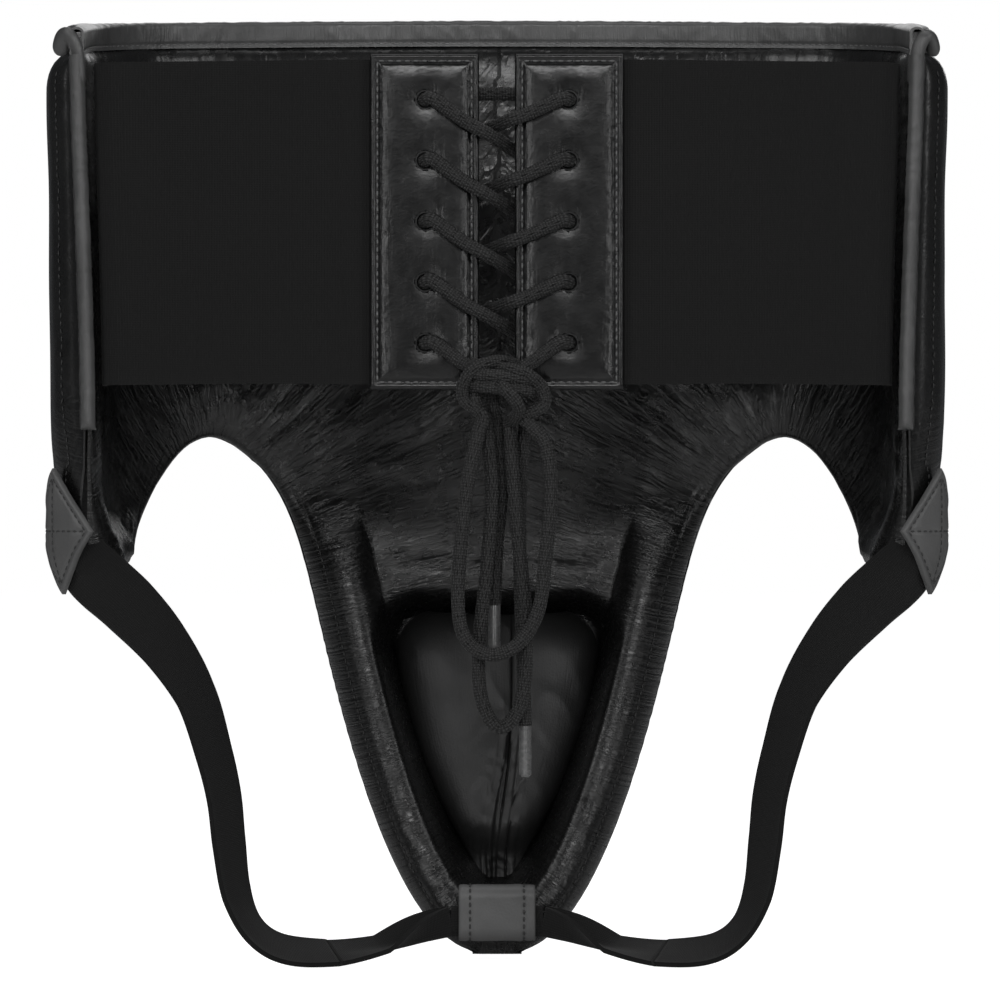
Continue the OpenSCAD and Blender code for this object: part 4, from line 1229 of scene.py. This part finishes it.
def patchPlace(side):
    def place(a, b, k):
        p = gridEase(a, 0.3)
        q = gridEase(b, 0.3)
        across = patch["half"] * (p - q)
        up = patch["half"] * (p + q - 1)
        rim = np.minimum(np.minimum(p, 1 - p), np.minimum(q, 1 - q)) * patch["half"] * 1.41
        swell = 0.35 * rounded(rim / 0.9) + 0.3 * hump(rim, 1.1, 0.6) - 0.4 * hump(rim, 2.9, 0.7)
        cross = 0.4 * np.maximum(hump(across, 0, 0.8), hump(up, 0, 0.8)) * smooth(3, 4, rim)
        dimple = patch["dimple"] * (softNoise(p * 4, q * 4, 97) - 0.5)
        return patchSpot(side, across, up, patch["gap"] + k * (patch["thick"] + swell - cross) + dimple)
    return place


def patchLine(side, start, stop):
    # a stitch line on the patch between two points given from its middle
    t = np.linspace(0, 1, 60)
    across = mix(start[0], stop[0], t)
    up = mix(start[1], stop[1], t)
    p = (up + across) / patch["half"]
    q = (up - across) / patch["half"]
    dimple = patch["dimple"] * (softNoise(p * 2 + 2, q * 2 + 2, 97) - 0.5)
    out = patch["gap"] + patch["thick"] + dimple
    spots = patchSpot(side, across, up, out)
    return spots, patchSpot(side, across, up, out + 1.0) - spots


patchRows = []
for side, sideName in ((-1, "Left"), (1, "Right")):
    piece = gridSheet("strapPatch" + sideName, 70, 70, patchPlace(side), uv=stripMap)
    dress(piece, patchLeather, "root", ["strap_patch_" + sideName.lower()])
    r = patch["half"] - patch["stitchIn"]
    corners = [(r, 0), (0, r), (-r, 0), (0, -r), (r, 0)]
    for start, stop in zip(corners[:-1], corners[1:]):
        patchRows.append(patchLine(side, start, stop))
    r = patch["half"] - patch["crossIn"]
    patchRows.append(patchLine(side, (-r, 0), (r, 0)))
    patchRows.append(patchLine(side, (0, -r), (0, r)))


# Leg straps: webbing from the patches, turning edge on as it hangs, folded where it enters the loop

loopLow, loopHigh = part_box("crotch_loop")
loopY = (loopLow.y + loopHigh.y) / 2 / mm
strap = {"wide": 25.4, "thick": 1.8, "foldR": 2.2, "startY": -46.0, "hiddenY": -43.0, "endX": 18.6,
         "foldZ": 9.1, "split": 0.42, "cell": 1.1, "behindPatch": 2.2, "heldAbove": 140.0}
strapStops = [  # x, height, turn in degrees, how far it is folded
    (168.5, 168, 3, 0), (161, 157, 8, 0), (146, 143, 15, 0), (132, 127, 30, 0), (120, 107, 42, 0),
    (113, 84, 46, 0), (109, 66, 48, 0), (107, 48, 50, 0), (104, 28, 54, 0), (97, 13, 62, 0), (85, 5, 68, 0),
    (65, 3, 74, 0), (46, 4, 82, 0.12), (29, 7.2, 88, 0.7), (strap["endX"], strap["foldZ"], 90, 1)]


def foldedAcross(t, fold):
    # across a webbing that is folded up on both sides of its middle
    bend = strap["foldR"] * math.pi / 2
    angle = fold * math.pi / 2
    inner = np.clip(t, -bend, bend)
    rate = np.maximum(angle / bend, 1e-4)
    x = np.sin(rate * inner) / rate + (t - inner) * np.cos(angle)
    y = (1 - np.cos(rate * inner)) / rate + np.abs(t - inner) * np.sin(angle)
    local = rate * inner
    return x, y, -np.sin(local), np.cos(local)


stops = np.array(strapStops, float)
startX = stops[1, 0]
endX = stops[-1, 0]
stopY = mix(strap["startY"], loopY, (startX - stops[:, 0]) / (startX - endX))
stopY[0] = strap["hiddenY"]
strapCurve = throughPoints(np.stack([stops[:, 0], stopY, stops[:, 1]], -1), 0.8)
stopFar = [0.0]
for i in range(1, len(stops)):
    near = np.linalg.norm(strapCurve - np.array([stops[i, 0], stopY[i], stops[i, 1]]), axis=1).argmin()
    stopFar.append(near / (len(strapCurve) - 1))
strapLength = lengthOf(strapCurve)


def strapPoint(a, b, k):
    # a along the strap, b across it
    index = a * (len(strapCurve) - 1)
    ticks = np.arange(len(strapCurve))
    centre = np.stack([np.interp(index, ticks, strapCurve[:, i]) for i in range(3)], -1)
    grad = np.gradient(strapCurve, axis=0)
    t = np.stack([np.interp(index, ticks, grad[:, i]) for i in range(3)], -1)
    t /= np.linalg.norm(t, axis=1)[:, None]
    run = strapCurve[-1] - strapCurve[0]
    acrossPlane = np.cross(run, [0, 0, 1])
    acrossPlane = acrossPlane / np.linalg.norm(acrossPlane)
    acrossPlane = acrossPlane * (1 if acrossPlane[1] > 0 else -1)
    inPlane = np.cross(t, acrossPlane)
    inPlane *= np.where(inPlane[:, 2] < 0, -1, 1)[:, None]
    turn = np.radians(np.interp(a, stopFar, stops[:, 2]))[:, None]
    fold = np.interp(a, stopFar, stops[:, 3])
    wide = inPlane * np.cos(turn) + acrossPlane * np.sin(turn)
    thin = np.cross(t, wide)
    thin *= np.where(thin[:, 2] * fold < 0, -1, 1)[:, None]
    x, y, nx, ny = foldedAcross((b - 0.5) * strap["wide"], fold)
    hem = 0.12 * hump(np.abs(b - 0.5), 0.5, 0.06)
    half = (k - 0.5) * (strap["thick"] + 2 * hem)
    sag = 0.5 * (softNoise(a * 9, b * 2, 101) - 0.5) * (1 - fold)
    return centre + wide * (x + nx * half)[:, None] + thin * (y + ny * half + sag)[:, None]


def strapPart(side, start, stop):
    def place(a, b, k):
        p = strapPoint(mix(start, stop, a), b, k)
        tuck = patch["tuck"] * smooth(4, 26, patch["z"] - p[:, 2])
        under = np.interp(p[:, 0] + tuck, patchCurve[::-1, 0], patchCurve[::-1, 1]) + 0.6 - 1.8 * (1 - k)
        held = (p[:, 0] + tuck > patchPlan[-2][0]) & (p[:, 2] > strap["heldAbove"])
        p[:, 1] = np.where(held, np.maximum(p[:, 1], under + strap["behindPatch"]), p[:, 1])
        p[:, 2] += tipZ / mm
        return p * mm * np.array([side, 1, 1])
    return place


for side, sideName in ((-1, "Left"), (1, "Right")):
    body = "strap_" + sideName.lower()
    parts = [  # name, where it starts and stops, the bodies it joins, where the blend starts and stops
        ("Upper", 0.0, strap["split"], ("root", body), 0.03, 0.18),
        ("Lower", strap["split"], 1.0, (body, "root"), 0.8, 1.0),
    ]
    for partName, start, stop, bodies, fromShare, toShare in parts:
        long = strapLength * (stop - start)
        piece = gridSheet("legStrap" + sideName + partName, int(long / strap["cell"]), 26,
                          strapPart(side, start, stop), uv=clothMap(long, strap["wide"]))
        dress(piece, webbingWeave, None,
              ["leg_strap_" + sideName.lower()] if partName == "Upper" else [])
        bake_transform(piece)


def crossingPlace(a, b, k):
    x, y, nx, ny = foldedAcross((b - 0.5) * strap["wide"], np.ones_like(b))
    half = (k - 0.5) * strap["thick"]
    return np.stack([mix(-endX, endX, a), loopY + x + nx * half,
                     strap["foldZ"] + y + ny * half + tipZ / mm], -1) * mm


piece = gridSheet("strapCrossing", 30, 26, crossingPlace, uv=clothMap(2 * endX, strap["wide"]))
dress(piece, webbingWeave, "root", ["strap_crossing"])

loop = {"wide": (loopHigh.x - loopLow.x) / mm, "deep": (loopHigh.y - loopLow.y) / mm,
        "tall": (loopHigh.z - loopLow.z) / mm, "thick": 1.5, "stitchIn": 4.6}
loopMid = (loopHigh.z + loopLow.z) / 2 / mm


def loopRound(t, off):
    # round the loop from the seam behind it, off inside its outer face
    r = loop["deep"] / 2
    straight = loop["tall"] - loop["deep"]
    whole = 2 * straight + 2 * math.pi * r
    s = t * whole
    q = straight / 2
    marks = np.cumsum([q, math.pi * r, straight, math.pi * r, q])
    c1 = (s - marks[0]) / r
    c2 = (s - marks[2]) / r
    where = [s < mark for mark in marks[:4]]
    y = np.select(where, [r + 0 * s, r * np.cos(c1), -r + 0 * s, -r * np.cos(c2)], r)
    z = np.select(where, [s, q + r * np.sin(c1), q - (s - marks[1]), -q - r * np.sin(c2)],
                  s - marks[3] - q)
    ny = np.select(where, [1 + 0 * s, np.cos(c1), -1 + 0 * s, -np.cos(c2)], 1)
    nz = np.select(where, [0 * s, np.sin(c1), 0 * s, -np.sin(c2)], 0)
    return loopY + y - ny * off, loopMid + z - nz * off, ny, nz


def loopPlace(a, b, k):
    rim = (0.5 - np.abs(b - 0.5)) * loop["wide"]
    dent = 0.35 * hump(rim, loop["stitchIn"], 0.9) + 0.5 * (1 - rounded(rim / 1.2))
    swell = 0.5 * (softNoise(a * 9, b * 5, 111) - 0.5)
    y, z, _, _ = loopRound(a, np.where(k < 0.5, loop["thick"], dent - swell))
    return np.stack([(b - 0.5) * loop["wide"], y, z], -1) * mm


piece = gridSheet("crotchLoop", 120, 56, loopPlace, uv=stripMap)
dress(piece, patchLeather, "root", ["crotch_loop"])
print("straps made")


# Stitching

def padRow(level, u, z, lift=0.15):
    # a stitch line on one of the pad's faces
    def spot(du, dz):
        return padPlace(u + du, z + dz, level(u + du, z + dz)[0])
    sideways = spot(0.5, 0) - spot(-0.5, 0)
    upwards = spot(0, 0.5) - spot(0, -0.5)
    normal = np.cross(sideways, upwards)
    normal /= np.linalg.norm(normal, axis=1)[:, None]
    outward = padPlace(u, z, u * 0 + 1) - padPlace(u, z, u * 0)
    facing = -1 if level is liningLevel else 1
    flip = np.sign((normal * outward).sum(-1)) * facing
    normal *= flip[:, None]
    return spot(0, 0) + normal * lift * mm, normal


def edgeRow(level, inside, fromS, toS, lift=0.15):
    # a stitch line a set distance inside the open edge
    s = np.arange(fromS, toS, 1.2)
    u = np.interp(s, edgeFar, edgeLine[:, 0])
    z = np.interp(s, edgeFar, edgeLine[:, 1])
    du = np.gradient(u)
    dz = np.gradient(z)
    size = np.hypot(du, dz)
    return padRow(level, u - dz / size * inside, z + du / size * inside, lift)


rowsAt = {"coverEdge": 6.5, "besideSeam": 4.6}
edgeTotal = edgeFar[-1]
hipSpan = float(edgeFar[np.abs(edgeLine[:, 0] + joinW).argmin()])
tipSpan = edgeTotal / 2
leatherRows = [edgeRow(liningLevel, lining["seamIn"], hipSpan + 14, tipSpan - 16),
               edgeRow(liningLevel, lining["seamIn"], tipSpan + 16, edgeTotal - hipSpan - 14),
               edgeRow(coverLevel, rowsAt["coverEdge"], 16, tipSpan - 10, 0.2),
               edgeRow(coverLevel, rowsAt["coverEdge"], tipSpan + 10, edgeTotal - 16, 0.2)]
for side in (-1, 1):
    z = np.linspace(198, float(highZ(wingU)) - 14, 160)
    leatherRows.append(padRow(coverLevel, side * (wingU - cover["wingSeam"] + 0 * z), z, 0.25))
    for off in (-rowsAt["besideSeam"], rowsAt["besideSeam"]):
        z = np.linspace(joinZ + 8, float(highZ(joinW)) - 11, 140)
        leatherRows.append(padRow(coverLevel, side * (joinW + off + 0 * z), z, 0.2))
for off in (-rowsAt["besideSeam"], rowsAt["besideSeam"]):
    u = np.linspace(-joinW + 9, joinW - 9, 160)
    leatherRows.append(padRow(coverLevel, u, joinZ + off + 0 * u, 0.2))
piece = stitches("seamStitches", leatherRows, 2.4, 3.1, 0.32)
dress(piece, threadDark, "root")

bindingRows = []
for b in (binding["stitchAt"], 1 - binding["stitchAt"]):
    a = np.linspace(0.02, 0.98, 500)
    spots = topBindingPlace(a, b + 0 * a, 1.0 + 0 * a)
    normal = spots - topBindingPlace(a, b + 0 * a, 0.0 + 0 * a)
    bindingRows.append((spots, normal))
    for side in (-1, 1):
        place = wingBindingPlace(side)
        a = np.linspace(0.02, 0.94, 200)
        spots = place(a, b + 0 * a, 1.0 + 0 * a)
        bindingRows.append((spots, spots - place(a, b + 0 * a, 0.0 + 0 * a)))
piece = stitches("bindingStitches", bindingRows, 2.3, 3.0, 0.4)
dress(piece, threadPale, "root")

piece = stitches("patchStitches", patchRows, 2.1, 2.9, 0.45)
dress(piece, threadDark, "root")

for side, sideName in ((-1, "Left"), (1, "Right")):
    inset = lacing["stitchIn"]
    x0, x1, z1 = panelX[0] + inset, panelX[1] - inset, panelHalf - inset
    rows = []
    corners = [(x0, -z1), (x1, -z1), (x1, z1), (x0, z1), (x0, -z1)]
    for start, stop in zip(corners[:-1], corners[1:]):
        t = np.linspace(0, 1, 120)
        x = mix(start[0], stop[0], t)
        z = mix(start[1], stop[1], t)
        y = panelFront - panelFace(x, z) - 0.1
        rows.append((np.stack([side * x, y, z], -1) * mm, np.tile([0.0, -1.0, 0.0], (len(t), 1))))
    piece = stitches("panelStitches" + sideName, rows, 2.2, 3.1, 0.42)
    dress(piece, threadPale, "rear_" + sideName.lower())

loopRows = []
for side in (-1, 1):
    t = np.linspace(0.16, 0.82, 90)
    y, z, ny, nz = loopRound(t, 0.1)
    x = side * (loop["wide"] / 2 - loop["stitchIn"]) + 0 * t
    loopRows.append((np.stack([x, y, z], -1) * mm, np.stack([0 * t, ny, nz], -1)))
piece = stitches("loopStitches", loopRows, 2.1, 2.9, 0.5)
dress(piece, threadDark, "root")
print("stitching made")


# Floor

floorLook = {"drop": 0.4, "size": 9.0, "glow": 0.94}


def floorFinish():
    # pale and faintly glossy; it glows a little for the camera alone, so that it runs into the backdrop
    material, nodes, links, shader = newFinish("floorWhite")
    speckle = noiseOf(nodes, links, objectSpace(nodes, links, 3.0))
    links.new(rampOf(nodes, links, speckle, [(0.3, 0.78), (0.7, 0.82)]), shader.inputs["Base Color"])
    seen = nodes.new("ShaderNodeLightPath")
    glow = nodes.new("ShaderNodeMath")
    glow.operation = "MULTIPLY"
    glow.inputs[1].default_value = floorLook["glow"]
    links.new(seen.outputs["Is Camera Ray"], glow.inputs[0])
    links.new(glow.outputs[0], shader.inputs["Emission Strength"])
    sockets(shader, {"Roughness": 0.2, "Emission Color": (1, 1, 1, 1)})
    return material


bm = bmesh.new()
bmesh.ops.create_grid(bm, x_segments=1, y_segments=1, size=floorLook["size"])
floorZ = cadLow.z - floorLook["drop"] * mm
bmesh.ops.translate(bm, verts=bm.verts[:], vec=(0, 0, floorZ))
floorMesh = bpy.data.meshes.new("floor")
bm.to_mesh(floorMesh)
bm.free()
floor = bpy.data.objects.new("floor", floorMesh)
scene.collection.objects.link(floor)
floor.data.materials.append(floorFinish())
floor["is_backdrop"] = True

low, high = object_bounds()
